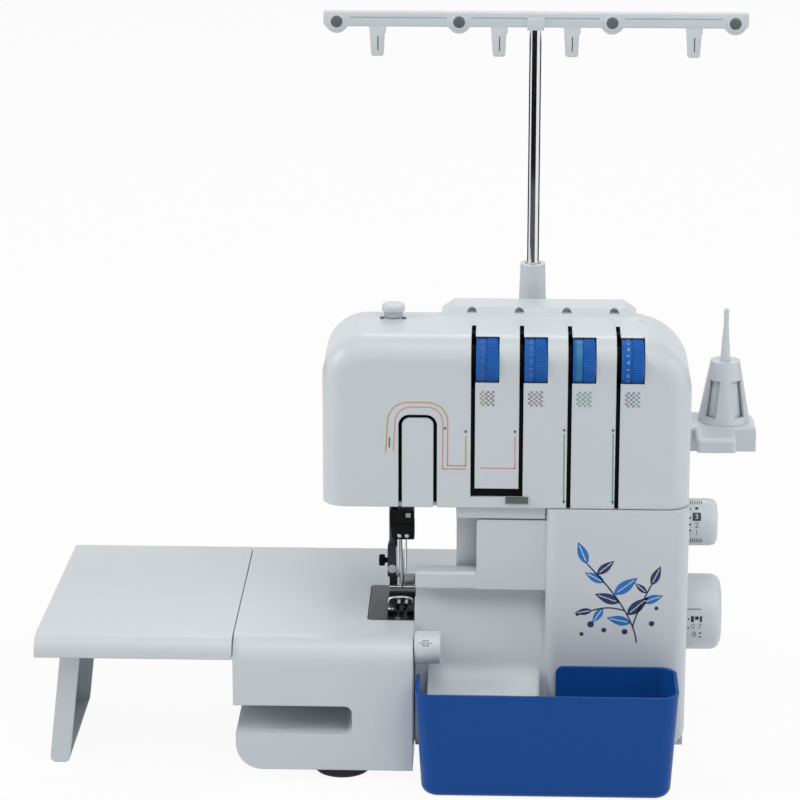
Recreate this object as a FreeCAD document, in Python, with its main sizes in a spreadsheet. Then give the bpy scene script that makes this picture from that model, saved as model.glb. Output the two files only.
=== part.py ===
import FreeCAD
import Part
import Sketcher
import os

# A home overlock machine, in millimetres: +X is the machine's right, +Y its back, +Z up.
# Positions across are measured from the arm's right edge and positions back from the bed's front.
# All driving sizes are here, each once. The rest of the file works from them.
SIZES = {
    # Clearances
    "seam": 0.6,
    "slip": 0.4,
    "running": 0.05,
    "stand_off": 0.3,
    "over": 1.0,
    # Free arm, bed and feet
    "casing_wall": 2.5,
    "arm_length": 121.0,
    "bed_depth": 191.0,
    "bed_height": 100.0,
    "bed_edge": 17.0,
    "gap_floor": 34.0,
    "gap_height": 20.0,
    "gap_length": 80.0,
    "gap_corner": 5.0,
    "toe_setback": 1.6,
    "toe_corner": 18.0,
    "port_front": 40.0,
    "port_back": 150.0,
    "foot_height": 8.0,
    "foot_radius": 20.0,
    "foot_lip": 2.0,
    "foot_left": 48.5,
    "foot_right": 150.0,
    "foot_front": 23.7,
    "foot_front_right": 78.0,
    "foot_back": 150.0,
    "tray_thick": 3.0,
    # Needle plate and lower knife
    "plate_width": 32.0,
    "plate_front": 44.0,
    "plate_length": 69.0,
    "plate_thick": 2.0,
    "plate_corner": 3.0,
    "feed_slot": 2.6,
    "knife_front": 60.0,
    "knife_length": 14.0,
    "knife_thick": 2.0,
    "knife_height": 19.0,
    # Head and column
    "head_overhang": 62.0,
    "body_reach": 184.0,
    "head_setback": 30.0,
    "head_depth": 70.0,
    "body_depth": 176.0,
    "head_bottom": 186.0,
    "head_height": 116.0,
    "head_left_corner": 29.0,
    "head_right_corner": 38.0,
    "head_edge": 16.0,
    "rear_drop": 30.0,
    "column_inset": 28.0,
    "column_setback": 52.0,
    "column_flange": 16.0,
    "shelf_front": 120.0,
    "throat_lip": 9.4,
    "throat_lip_depth": 16.0,
    # Tension units and thread path
    "slot_first": 38.8,
    "slot_pitch": 32.0,
    "slot_width": 2.8,
    "slot_back": 38.0,
    "slot_short": 13.5,
    "strip_gap": 6.0,
    "window_height": 28.0,
    "window_depth": 12.0,
    "dial_radius": 17.0,
    "dial_width": 15.0,
    "dial_depth": 14.5,
    "dial_drop": 18.5,
    "dial_round": 1.2,
    "dial_gap": 0.8,
    "post_radius": 2.0,
    "disc_radius": 11.0,
    "disc_thick": 0.8,
    "housing_wall": 1.8,
    "housing_front": 14.0,
    "housing_depth": 30.0,
    "housing_back": 6.0,
    "housing_head": 5.0,
    "tongue_left": 8.3,
    "tongue_width": 20.9,
    "tongue_height": 62.0,
    "tongue_gap": 2.4,
    "tongue_corner": 5.0,
    "tongue_boss": 8.0,
    "guard_margin": 4.0,
    "guard_depth": 14.0,
    "guide_left": 61.0,
    "guide_width": 15.0,
    "guide_height": 4.5,
    "guide_thick": 1.2,
    "ridge_left": 16.5,
    "ridge_length": 132.0,
    "ridge_front": 57.0,
    "ridge_lean": 6.0,
    "ridge_depth": 29.0,
    "ridge_height": 5.8,
    "ridge_slant": 8.5,
    "eyelet_radius": 3.2,
    "eyelet_depth": 9.0,
    "eyelet_rise": 2.5,
    "eyelet_first": 37.0,
    # Pole and guide bar
    "pole_across": 78.0,
    "pole_inset": 36.0,
    "pole_radius": 4.25,
    "pole_seat": 7.0,
    "pole_overlap": 45.0,
    "pole_travel": 120.0,
    "tube_wall": 1.2,
    "boss_radius": 13.0,
    "boss_rise": 2.7,
    "sleeve_height": 33.0,
    "sleeve_low_radius": 9.6,
    "sleeve_high_radius": 8.5,
    "bar_reach": 143.0,
    "bar_bottom": 491.0,
    "bar_height": 10.0,
    "bar_thick": 8.0,
    "bar_boss": 7.5,
    "hub_width": 11.5,
    "hub_drop": 1.8,
    "stud_outer": 134.0,
    "stud_inner": 51.5,
    "stud_radius": 4.0,
    "stud_thick": 1.5,
    "hook_outer": 106.5,
    "hook_inner": 24.5,
    "hook_width": 11.4,
    "hook_foot": 8.6,
    "hook_drop": 20.0,
    "hook_thick": 2.4,
    "hook_slit": 0.9,
    "hook_sill": 5.0,
    # Spool stand
    "stand_depth": 38.0,
    "stand_top": 199.0,
    "stand_thick": 18.0,
    "stand_edge": 3.0,
    "stand_corner": 12.0,
    "lug_left": 194.3,
    "lug_width": 27.7,
    "lug_front": 147.0,
    "lug_drop": 10.0,
    "stand_left": 44.0,
    "stand_margin": 22.0,
    "flange_left": 30.0,
    "flange_width": 120.0,
    "flange_drop": 30.0,
    "flange_thick": 4.0,
    "pin_first": 22.0,
    "pin_pitch": 79.2,
    "pin_back": 195.5,
    "pin_height": 82.0,
    "pin_radius": 3.6,
    "pin_tip_radius": 1.8,
    "pin_tip_length": 12.0,
    "pin_tip_round": 1.2,
    "cone_height": 44.0,
    "cone_low_radius": 18.5,
    "cone_high_radius": 10.4,
    "cone_wall": 2.0,
    "cone_sill": 5.0,
    "cone_head": 13.0,
    "cone_window": 8.6,
    "cone_core_low": 14.2,
    "cone_core_high": 8.2,
    "screw_radius": 3.6,
    "screw_head": 2.0,
    "screw_inset": 14.0,
    # Front cover, its hinge rod and the chute
    "cover_setback": 27.0,
    "cover_step": 7.0,
    "cover_split": 88.4,
    "cover_mid": 41.7,
    "cover_bottom": 15.0,
    "cover_left": 0.8,
    "cover_corner": 14.0,
    "cover_side_edge": 8.0,
    "lip_top": 138.5,
    "lip_height": 12.1,
    "lip_edge": 2.0,
    "mid_drop": 10.0,
    "mid_thick": 8.0,
    "mid_corner": 2.0,
    "chute_depth": 11.0,
    "chute_drop": 9.0,
    "chute_toe": 2.5,
    "chute_foot": 68.0,
    "chute_bend": 22.0,
    "shroud_width": 21.0,
    "shroud_below": 16.0,
    "shroud_above": 24.0,
    "shroud_gap": 0.4,
    "hinge_ahead": 8.0,
    "hinge_height": 25.0,
    "hinge_radius": 2.0,
    "hinge_relief": 2.5,
    "knuckle_radius": 5.0,
    "knuckle_width": 12.0,
    "knuckle_first": 22.0,
    "knuckle_inset": 38.0,
    "cover_travel": 10.0,
    "bracket_width": 5.0,
    "bracket_depth": 8.0,
    # Trim bin
    "bin_left": 2.2,
    "bin_length": 175.0,
    "bin_depth": 58.0,
    "bin_height": 75.0,
    "bin_gap": 0.3,
    "bin_draft": 3.3,
    "bin_wall": 2.2,
    "bin_corner": 12.0,
    "bin_sole": 7.0,
    "bin_cut_right": 96.0,
    "bin_cut_round": 5.0,
    "bin_cut_front": 8.0,
    "bin_cut_sill": 30.0,
    # Wide table and leg
    "table_length": 133.0,
    "table_taper": 4.4,
    "table_edge": 13.5,
    "table_skin": 3.0,
    "table_round": 11.0,
    "tongue_reach": 9.0,
    "tongue_thick": 4.0,
    "tongue_breadth": 26.0,
    "tongue_front": 34.0,
    "tongue_inset": 38.0,
    "leg_right": 22.0,
    "leg_front": 26.0,
    "leg_depth": 112.0,
    "leg_thick": 13.5,
    "leg_lean": 10.5,
    "leg_round": 4.0,
    "leg_wall": 2.4,
    "leg_pin_radius": 2.0,
    "leg_pin_drop": 10.0,
    "leg_knuckle": 5.5,
    "lug_thick": 5.0,
    # Right-hand side
    "shaft_back": 100.0,
    "shaft_drop": 11.5,
    "shaft_radius": 5.0,
    "shaft_left": 34.0,
    "shaft_end": 14.0,
    "wheel_radius": 26.3,
    "wheel_width": 25.5,
    "wheel_round": 7.0,
    "wheel_dish": 5.0,
    "wheel_dish_radius": 17.0,
    "wheel_gap": 1.0,
    "length_height": 154.0,
    "length_radius": 16.3,
    "length_width": 22.2,
    "length_round": 4.0,
    "length_stub": 4.0,
    "length_stub_run": 22.0,
    "width_radius": 11.0,
    "width_length": 17.6,
    "width_back": 14.0,
    "width_drop": 8.0,
    "width_stub": 3.0,
    "width_stub_run": 14.0,
    "width_round": 2.0,
    "inlet_inset": 21.0,
    "inlet_height": 38.0,
    "inlet_breadth": 26.0,
    "inlet_tall": 20.0,
    "inlet_depth": 22.0,
    "inlet_flange": 2.0,
    "inlet_rim": 2.0,
    "inlet_pin": 1.5,
    "inlet_pin_shift": 5.2,
    "switch_height": 68.0,
    "switch_tall": 18.0,
    "switch_breadth": 12.0,
    "switch_depth": 9.0,
    "switch_pin": 1.5,
    # Drive
    "motor_radius": 23.0,
    "motor_inset": 110.0,
    "motor_length": 54.0,
    "motor_back": 124.0,
    "motor_height": 48.0,
    "motor_shaft": 3.0,
    "motor_saddle": 12.0,
    "saddle_half": 17.0,
    "pulley_inset": 38.0,
    "pulley_width": 8.0,
    "motor_pulley_radius": 8.0,
    "shaft_pulley_radius": 22.0,
    "belt_thick": 2.4,
    "bush_wall": 2.0,
    # Main frame
    "rail_left": 14.0,
    "rail_front": 62.0,
    "rail_inset": 14.0,
    "rail_thick": 9.0,
    "wall_inset": 17.0,
    "wall_thick": 9.0,
    "wall_left": 34.0,
    "wall_right": 70.0,
    "rail_end": 36.0,
    "beam_end": 44.0,
    "wall_drop": 52.0,
    "beam_front": 106.0,
    "beam_back": 128.0,
    "beam_left": 46.0,
    "beam_lift": 20.0,
    "beam_height": 30.0,
    "arm_left": 30.0,
    "arm_right": 4.0,
    "arm_front": 64.0,
    "arm_thick": 6.0,
    "web_left": 30.0,
    "web_right": 58.0,
    "web_front": 90.0,
    "pedestal_inset": 52.0,
    "pedestal_width": 10.0,
    "pedestal_half": 14.0,
    "bridge_front": 96.0,
    "bridge_back": 111.0,
    "bed_beam": 12.0,
    "feed_pocket": 8.0,
    "feed_margin": 7.2,
    "ear_left": 44.0,
    "ear_inset": 60.0,
    "ear_width": 8.0,
    "ear_half": 8.0,
    # Needle drive
    "rocker_back": 114.0,
    "rocker_drop": 36.0,
    "rocker_radius": 4.0,
    "rocker_boss": 8.5,
    "rocker_left": 10.0,
    "rocker_inset": 48.0,
    "lever_thick": 6.0,
    "lever_height": 7.0,
    "needle_across": 9.6,
    "needle_back": 75.0,
    "bar_radius": 3.0,
    "needle_bar_rise": 66.0,
    "needle_bar_drop": 16.0,
    "clamp_width": 17.0,
    "clamp_depth": 11.0,
    "clamp_rise": 49.0,
    "clamp_height": 22.0,
    "clamp_edge": 2.0,
    "needle_pitch": 5.0,
    "needle_radius": 0.8,
    "needle_tip_rise": 21.0,
    "needle_point": 6.0,
    "needle_grip": 8.0,
    # Presser
    "presser_across": 16.0,
    "presser_back": 87.0,
    "presser_rise": 26.0,
    "presser_drop": 60.0,
    "shank_width": 8.0,
    "shank_rise": 10.0,
    "shank_reach": 50.0,
    "foot_left_edge": 19.0,
    "foot_width": 18.0,
    "foot_toe": 52.0,
    "foot_heel": 93.0,
    "foot_thick": 3.0,
    "foot_gap": 0.4,
    "thumb_radius": 4.0,
    "thumb_length": 6.0,
    "knob_radius": 7.8,
    "knob_height": 8.8,
    "knob_lift": 0.6,
    "knob_stem": 4.0,
    "knob_stem_run": 16.0,
    "knob_round": 2.5,
    "lifter_left": 44.0,
    "lifter_thick": 6.0,
    "lifter_back": 124.0,
    "lifter_lift": 12.0,
    "lifter_pin": 2.0,
    "lifter_boss": 5.0,
    "lifter_drop": 30.0,
    "lifter_lug": 5.0,
    # Loopers, upper knife and feed dogs
    "knife_pivot_back": 104.0,
    "knife_pivot_height": 52.0,
    "knife_pivot": 3.0,
    "knife_boss": 7.0,
    "knife_arm": 3.4,
    "knife_bar": 10.0,
    "blade_rise": 21.0,
    "lower_across": 42.0,
    "lower_height": 48.0,
    "upper_across": 50.0,
    "upper_height": 66.0,
    "looper_pin": 3.0,
    "looper_boss": 6.0,
    "looper_arm": 6.0,
    "looper_thick": 3.0,
    "looper_blade": 4.5,
    "lower_front": 77.0,
    "upper_front": 84.0,
    "lower_drop": 16.0,
    "upper_drop": 1.0,
    "lower_tip": 3.0,
    "upper_tip": 10.0,
    "feed_bar": 2.0,
    "feed_length": 18.0,
    "feed_travel": 3.0,
    "feed_rise": 6.6,
    "feed_base": 2.6,
    "feed_first": 54.0,
    "feed_second": 80.0,
}

doc = FreeCAD.newDocument("overlock_machine")
sheet = doc.addObject("Spreadsheet::Sheet", "sizes")
NODES = []


class Size:
    """A length: the formula that binds it to the sheet, and its value now."""

    def __init__(self, formula, value):
        self.formula = formula
        self.value = value

    def joined(self, sign, other):
        """This size and another one, joined by an arithmetic sign."""
        other = as_size(other)
        values = {
            "+": self.value + other.value,
            "-": self.value - other.value,
            "*": self.value * other.value,
            "/": self.value / other.value if other.value else 0.0,
        }
        return Size(f"({self.formula} {sign} {other.formula})", values[sign])

    def __add__(self, other):
        return self.joined("+", other)

    def __radd__(self, other):
        return as_size(other).joined("+", self)

    def __sub__(self, other):
        return self.joined("-", other)

    def __rsub__(self, other):
        return as_size(other).joined("-", self)

    def __mul__(self, other):
        return self.joined("*", other)

    def __rmul__(self, other):
        return as_size(other).joined("*", self)

    def __truediv__(self, other):
        return self.joined("/", other)

    def __neg__(self):
        return as_size(0).joined("-", self)


def as_size(value):
    """The value as a Size; a plain number stands for itself."""
    return value if isinstance(value, Size) else Size(repr(float(value)), float(value))


class Named:
    """Attribute access to the sheet's sizes."""

    def __getattr__(self, name):
        return Size(f"sizes.{name}", SIZES[name])


for row, (alias, number) in enumerate(SIZES.items(), start=1):
    sheet.set(f"A{row}", repr(number))
    sheet.setAlias(f"A{row}", alias)
doc.recompute()
S = Named()

# Turns that lay a local Z axis along a named axis
TURNS = {
    "x": FreeCAD.Rotation(FreeCAD.Vector(0, 1, 0), 90),
    "y": FreeCAD.Rotation(FreeCAD.Vector(1, 0, 0), -90),
    "z": FreeCAD.Rotation(),
}
# How many threads the machine takes, and how many of their slots stop short of the head's foot
THREADS = 4
SHORT_SLOTS = 2
# The feed rows leave one pitch free for the chaining finger.
# The windows of a cone holder run through it on these turns, in degrees.
CONE_TURNS = (52, 128)
ROLES = {"xy": "XY_Plane", "xz": "XZ_Plane", "yz": "YZ_Plane"}


def bind(item, prop, size):
    """Bind a property of an object to a size's formula."""
    item.setExpression(prop, as_size(size).formula)


def place(item, axis, base):
    """Turn an object's local Z onto an axis and bind its base point."""
    item.Placement = FreeCAD.Placement(FreeCAD.Vector(), TURNS[axis])
    for letter, size in zip("xyz", base):
        bind(item, f"Placement.Base.{letter}", size)
    return item


def block(name, x, y, z):
    """A box between low and high values on each axis."""
    item = doc.addObject("Part::Box", name)
    for prop, (low, high) in zip(("Length", "Width", "Height"), (x, y, z)):
        bind(item, prop, high - low)
    return place(item, "z", (x[0], y[0], z[0]))


def along(axis, centre, start):
    """The base point on an axis, from the two values across it and the one along it."""
    first, second = centre
    return {"x": (start, first, second), "y": (first, start, second), "z": (first, second, start)}[axis]


def rod(name, axis, centre, radius, span):
    """A cylinder along an axis."""
    item = doc.addObject("Part::Cylinder", name)
    bind(item, "Radius", radius)
    bind(item, "Height", span[1] - span[0])
    return place(item, axis, along(axis, centre, span[0]))


def taper(name, axis, centre, radii, span):
    """A cone frustum along an axis."""
    item = doc.addObject("Part::Cone", name)
    bind(item, "Radius1", radii[0])
    bind(item, "Radius2", radii[1])
    bind(item, "Height", span[1] - span[0])
    return place(item, axis, along(axis, centre, span[0]))


def fuse(name, *items):
    """The union of objects."""
    item = doc.addObject("Part::MultiFuse", name)
    item.Shapes = list(items)
    item.Refine = True
    return item


def cut(name, base, *tools):
    """The base with every tool taken away, one after another."""
    for index, tool in enumerate(tools, start=1):
        item = doc.addObject("Part::Cut", name if index == len(tools) else f"{name}_{index}")
        item.Base = base
        item.Tool = tool
        item.Refine = True
        base = item
    return base


def shared(name, first, second):
    """The space that two objects share."""
    item = doc.addObject("Part::Common", name)
    item.Base = first
    item.Tool = second
    return item


def group(name, *items):
    """Separate solids that go by one name."""
    item = doc.addObject("Part::Compound", name)
    item.Links = list(items)
    return item


def outline(body, role, points):
    """A closed sketch on a body's plane, each corner bound on both axes."""
    sketch = body.newObject("Sketcher::SketchObject", f"{body.Name}_sketch")
    plane = [part for part in body.Origin.OriginFeatures if part.Role == ROLES[role]][0]
    sketch.AttachmentSupport = [(plane, "")]
    sketch.MapMode = "FlatFace"
    corners = [FreeCAD.Vector(as_size(u).value, as_size(v).value, 0) for u, v in points]
    count = len(corners)
    for index in range(count):
        sketch.addGeometry(Part.LineSegment(corners[index], corners[(index + 1) % count]))
    for index in range(count):
        sketch.addConstraint(Sketcher.Constraint("Coincident", index, 2, (index + 1) % count, 1))
    for index, point in enumerate(points):
        for kind, size in zip(("DistanceX", "DistanceY"), point):
            size = as_size(size)
            slot = sketch.addConstraint(Sketcher.Constraint(kind, -1, 1, index, 1, size.value))
            sketch.setExpression(f"Constraints[{slot}]", size.formula)
    return sketch


def prism(name, role, points, span):
    """A padded body: an outline on a plane, carried from the low to the high end of a span."""
    body = doc.addObject("PartDesign::Body", name)
    sketch = outline(body, role, points)
    low, high = span
    bind(sketch, "AttachmentOffset.Base.z", -low if role == "xz" else low)
    pad = body.newObject("PartDesign::Pad", f"{name}_pad")
    pad.Profile = sketch
    pad.Reversed = role == "xz"
    bind(pad, "Length", high - low)
    doc.recompute()
    return body


def turned(name, axis, base, profile):
    """A body turned about an axis from its half profile of radius and height pairs."""
    body = doc.addObject("PartDesign::Body", name)
    sketch = outline(body, "xz", profile)
    spin = body.newObject("PartDesign::Revolution", f"{name}_turn")
    spin.Profile = sketch
    spin.ReferenceAxis = (sketch, ["V_Axis"])
    spin.Angle = 360
    doc.recompute()
    return place(body, axis, base)


def soften(body, radius, *places):
    """Round the edges of a body that lie wholly at one of the places given."""
    tip = body.Tip
    names = []
    for index, edge in enumerate(tip.Shape.Edges, start=1):
        if any(lies(edge, spot) for spot in places):
            names.append(f"Edge{index}")
    fillet = body.newObject("PartDesign::Fillet", f"{body.Name}_round")
    fillet.Base = (tip, names)
    bind(fillet, "Radius", radius)
    doc.recompute()
    return body


def lies(edge, spot):
    """True where every end of an edge has the coordinates of the spot."""
    near = SIZES["running"] / 10
    ends = [vertex.Point for vertex in edge.Vertexes]
    wanted = {axis: as_size(size).value for axis, size in spot.items()}
    return all(abs(getattr(end, axis) - place) < near for end in ends for axis, place in wanted.items())


def node(name, item):
    """Register an object as a piece of the machine."""
    item.Label = name
    NODES.append(item)
    return item


# Datums: the arm's right edge and the bed's front, so that the whole stands over its own middle
stand_reach = S.pin_pitch * (THREADS - 1) - S.pin_first + S.stand_margin
bin_ahead = S.bin_depth + S.bin_gap - S.cover_setback
X0 = (S.arm_length + S.seam + S.table_length - stand_reach) / 2
Y0 = (bin_ahead - S.body_depth - S.seam - S.stand_depth) / 2
wall = S.casing_wall
arm_left = X0 - S.arm_length
toe_left = arm_left + S.toe_setback
bed_back = Y0 + S.bed_depth
gap_top = S.gap_floor + S.gap_height
gap_end = arm_left + S.gap_length
tray_top = S.foot_height + S.tray_thick
head_left = X0 - S.head_overhang
body_right = X0 + S.body_reach
head_front = Y0 + S.head_setback
head_split = head_front + S.head_depth
body_back = Y0 + S.body_depth
head_top = S.head_bottom + S.head_height
column_left = X0 + S.column_inset
column_front = Y0 + S.column_setback
rear_slope = S.rear_drop / (S.body_depth - S.head_setback - S.head_depth)
knuckle_last = S.body_reach - S.knuckle_inset
ear_right = S.body_reach - S.ear_inset
shaft_height = S.bed_height - S.shaft_drop
width_height = S.bed_height - S.width_drop
needle_tip = S.bed_height + S.needle_tip_rise
clamp_low = S.bed_height + S.clamp_rise
needle_bar_low = S.bed_height + S.needle_bar_rise
presser_low = S.bed_height + S.presser_rise
shank_low = S.bed_height + S.shank_rise
shank_top = S.bed_height + S.shank_reach
blade_top = S.bed_height + S.blade_rise
lower_top = S.bed_height - S.lower_drop
upper_top = S.bed_height - S.upper_drop
shroud_low = width_height - S.shroud_below
shroud_high = width_height + S.shroud_above
beam_bottom = S.head_bottom + S.beam_lift
lifter_height = S.head_bottom + S.lifter_lift
mid_top = S.head_bottom - S.mid_drop
rocker_height = head_top - S.rocker_drop
presser_top = head_top - S.presser_drop
needle_bar_top = head_top - S.needle_bar_drop
wall_top = head_top - S.wall_drop
pole = (X0 + S.pole_across, body_back - S.pole_inset)
boss_top = head_top - (pole[1] - S.boss_radius - head_split) * rear_slope + S.boss_rise
sleeve_top = boss_top + S.sleeve_height
pole_top = S.bar_bottom + S.pole_seat
plate_left = X0 - S.plate_width
plate_back = Y0 + S.plate_front + S.plate_length
shaft = (Y0 + S.shaft_back, shaft_height)
hinge = (column_front - S.hinge_ahead, S.hinge_height)
needle = (X0 - S.needle_across, Y0 + S.needle_back)
presser = (X0 - S.presser_across, Y0 + S.presser_back)
rocker = (Y0 + S.rocker_back, rocker_height)
dial_axis = (head_front + S.dial_depth, head_top - S.dial_drop)
SLOTS = [X0 + S.slot_first + S.slot_pitch * index for index in range(THREADS)]


def make_bed():
    """The free-arm casing, its base tray and its feet."""
    outer = prism(
        "arm_outer",
        "xz",
        [
            (arm_left, gap_top),
            (arm_left, S.bed_height),
            (X0, S.bed_height),
            (X0, S.foot_height),
            (toe_left, S.foot_height),
            (toe_left, S.gap_floor),
            (gap_end, S.gap_floor),
            (gap_end, gap_top),
        ],
        (Y0, bed_back),
    )
    soften(outer, S.toe_corner, {"x": toe_left, "z": S.foot_height})
    soften(outer, S.gap_corner, {"x": gap_end, "z": S.gap_floor}, {"x": gap_end, "z": gap_top})
    soften(outer, S.bed_edge, {"y": Y0, "z": S.bed_height})
    below = S.foot_height - S.over
    inside = X0 - wall
    inner_toe = toe_left + S.toe_corner
    hollow = prism(
        "arm_hollow",
        "xz",
        [
            (arm_left + wall, gap_top + wall),
            (arm_left + wall, S.bed_height - wall),
            (inside, S.bed_height - wall),
            (inside, below),
            (inner_toe, below),
            (inner_toe, S.gap_floor - wall),
            (gap_end + wall, S.gap_floor - wall),
            (gap_end + wall, gap_top + wall),
        ],
        (Y0 + wall, bed_back - wall),
    )
    soften(hollow, S.bed_edge - wall, {"y": Y0 + wall, "z": S.bed_height - wall})
    port = block(
        "arm_port",
        (inside - S.over, X0 + S.over),
        (Y0 + S.port_front, Y0 + S.port_back),
        (below, S.bed_height - wall),
    )
    skin = (S.bed_height - wall - S.over, S.bed_height + S.over)
    plate_hole = plate_prism("plate_hole", S.slip, X0 + S.over, skin)
    stub_hole = rod(
        "width_stub_hole",
        "x",
        (Y0 + S.width_back, width_height),
        S.width_stub + S.running,
        (inside - S.over, X0 + S.over),
    )
    pockets = [
        block(
            f"table_pocket_{side}",
            (arm_left - S.over, arm_left + wall + S.over),
            (start - S.slip, start + S.tongue_breadth + S.slip),
            (tongue_low() - S.slip, tongue_low() + S.tongue_thick + S.slip),
        )
        for side, start in (("front", Y0 + S.tongue_front), ("back", bed_back - S.tongue_inset))
    ]
    node("free_arm_casing", cut("arm_cut", outer, hollow, port, plate_hole, stub_hole, *pockets))

    left = block(
        "tray_left",
        (inner_toe + S.slip, inside - S.slip),
        (Y0 + wall + S.slip, bed_back - wall - S.slip),
        (S.foot_height, tray_top),
    )
    middle = block(
        "tray_middle",
        (inside - S.foot_radius, column_left),
        (column_front + S.slip, Y0 + S.port_back - S.slip),
        (S.foot_height, tray_top),
    )
    right = block(
        "tray_right",
        (X0 + S.seam, body_right),
        (column_front + S.slip, body_back),
        (S.foot_height, tray_top),
    )
    lugs = []
    for tag, start in (("left", S.knuckle_first), ("right", knuckle_last)):
        low = X0 + start + S.knuckle_width + S.cover_travel + S.slip * 2
        lug = block(
            f"bracket_{tag}",
            (low, low + S.bracket_width),
            (hinge[0] - S.knuckle_radius, column_front + S.bracket_depth),
            (hinge[1] - S.knuckle_radius, hinge[1] + S.knuckle_radius),
        )
        post = block(
            f"bracket_post_{tag}",
            (low, low + S.bracket_width),
            (column_front + S.slip, column_front + S.bracket_depth),
            (S.foot_height, hinge[1] + S.knuckle_radius),
        )
        lugs += [lug, post]
    plate = fuse("tray_plate", left, middle, right, *lugs)
    bore = rod("tray_bore", "x", hinge, S.hinge_radius + S.running, (X0, body_right))
    node("base_tray", cut("tray_cut", plate, bore))

    spots = [
        (X0 - S.foot_left, Y0 + S.foot_front),
        (X0 - S.foot_left, Y0 + S.foot_back),
        (X0 + S.foot_right, Y0 + S.foot_front_right),
        (X0 + S.foot_right, Y0 + S.foot_back),
    ]
    feet = []
    for index, spot in enumerate(spots, start=1):
        foot = turned(
            f"foot_{index}",
            "z",
            (spot[0], spot[1], as_size(0)),
            [
                (as_size(0), as_size(0)),
                (S.foot_radius - S.foot_lip, as_size(0)),
                (S.foot_radius, S.foot_lip),
                (S.foot_radius, S.foot_height),
                (as_size(0), S.foot_height),
            ],
        )
        feet.append(foot)
    node("rubber_feet", group("feet", *feet))


def tongue_low():
    """The height of the underside of the table's tongues."""
    return S.bed_height - S.table_edge + S.tongue_thick / 2


def plate_prism(name, gap, right, rise):
    """The needle plate's form with a gap round it: square at its right, with rounded left corners."""
    left = plate_left - gap
    front = Y0 + S.plate_front - gap
    back = plate_back + gap
    body = prism(name, "xy", [(left, front), (right, front), (right, back), (left, back)], rise)
    soften(body, S.plate_corner + gap, {"x": left, "y": front}, {"x": left, "y": back})
    return body


def make_plate():
    """The needle plate with its feed and needle slots, and the fixed lower knife."""
    low = S.bed_height - S.plate_thick
    plate = plate_prism("plate_blank", as_size(0), X0 - S.seam / 2, (low, S.bed_height))
    through = (low - S.over, S.bed_height + S.over)
    tools = []
    for index, across in enumerate(feed_rows(), start=1):
        for tag, start in (("front", S.feed_first), ("back", S.feed_second)):
            tools.append(
                block(
                    f"feed_slot_{tag}_{index}",
                    (across - S.feed_slot / 2, across + S.feed_slot / 2),
                    (Y0 + start - S.feed_travel, Y0 + start + S.feed_length + S.feed_travel),
                    through,
                )
            )
    tools.append(
        block(
            "needle_slot",
            (needle[0] - S.needle_pitch, needle[0] + S.needle_pitch),
            (needle[1] - S.needle_radius * 2, needle[1] + S.needle_radius * 2),
            through,
        )
    )
    node("needle_plate", cut("plate_cut", plate, *tools))
    top = S.bed_height - S.seam
    node(
        "lower_knife",
        block(
            "lower_knife_blank",
            (X0 - S.seam / 2, X0 - S.seam / 2 + S.knife_thick),
            (Y0 + S.knife_front, Y0 + S.knife_front + S.knife_length),
            (top - S.knife_height, top),
        ),
    )


def feed_rows():
    """Where the rows of feed teeth lie across the plate."""
    left = plate_left + S.feed_margin * 2
    pitch = S.feed_slot * 2
    return [left, left + pitch, left + pitch * 2]


def head_prism(name, inset, ends):
    """The head's front form, set in all round by an amount."""
    left = head_left + inset
    right = body_right - inset
    low = S.head_bottom + inset
    top = head_top - inset
    front = ends[0]
    body = prism(name, "xz", [(left, low), (right, low), (right, top), (left, top)], ends)
    soften(body, S.head_left_corner - inset, {"x": left, "z": top})
    soften(body, S.head_right_corner - inset, {"x": right, "z": top})
    tip = body.Tip
    names = []
    for index, edge in enumerate(tip.Shape.Edges, start=1):
        if lies(edge, {"y": front}) and not lies(edge, {"z": low}):
            names.append(f"Edge{index}")
    fillet = body.newObject("PartDesign::Fillet", f"{name}_front_round")
    fillet.Base = (tip, names)
    bind(fillet, "Radius", S.head_edge - inset)
    doc.recompute()
    return body


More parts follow.
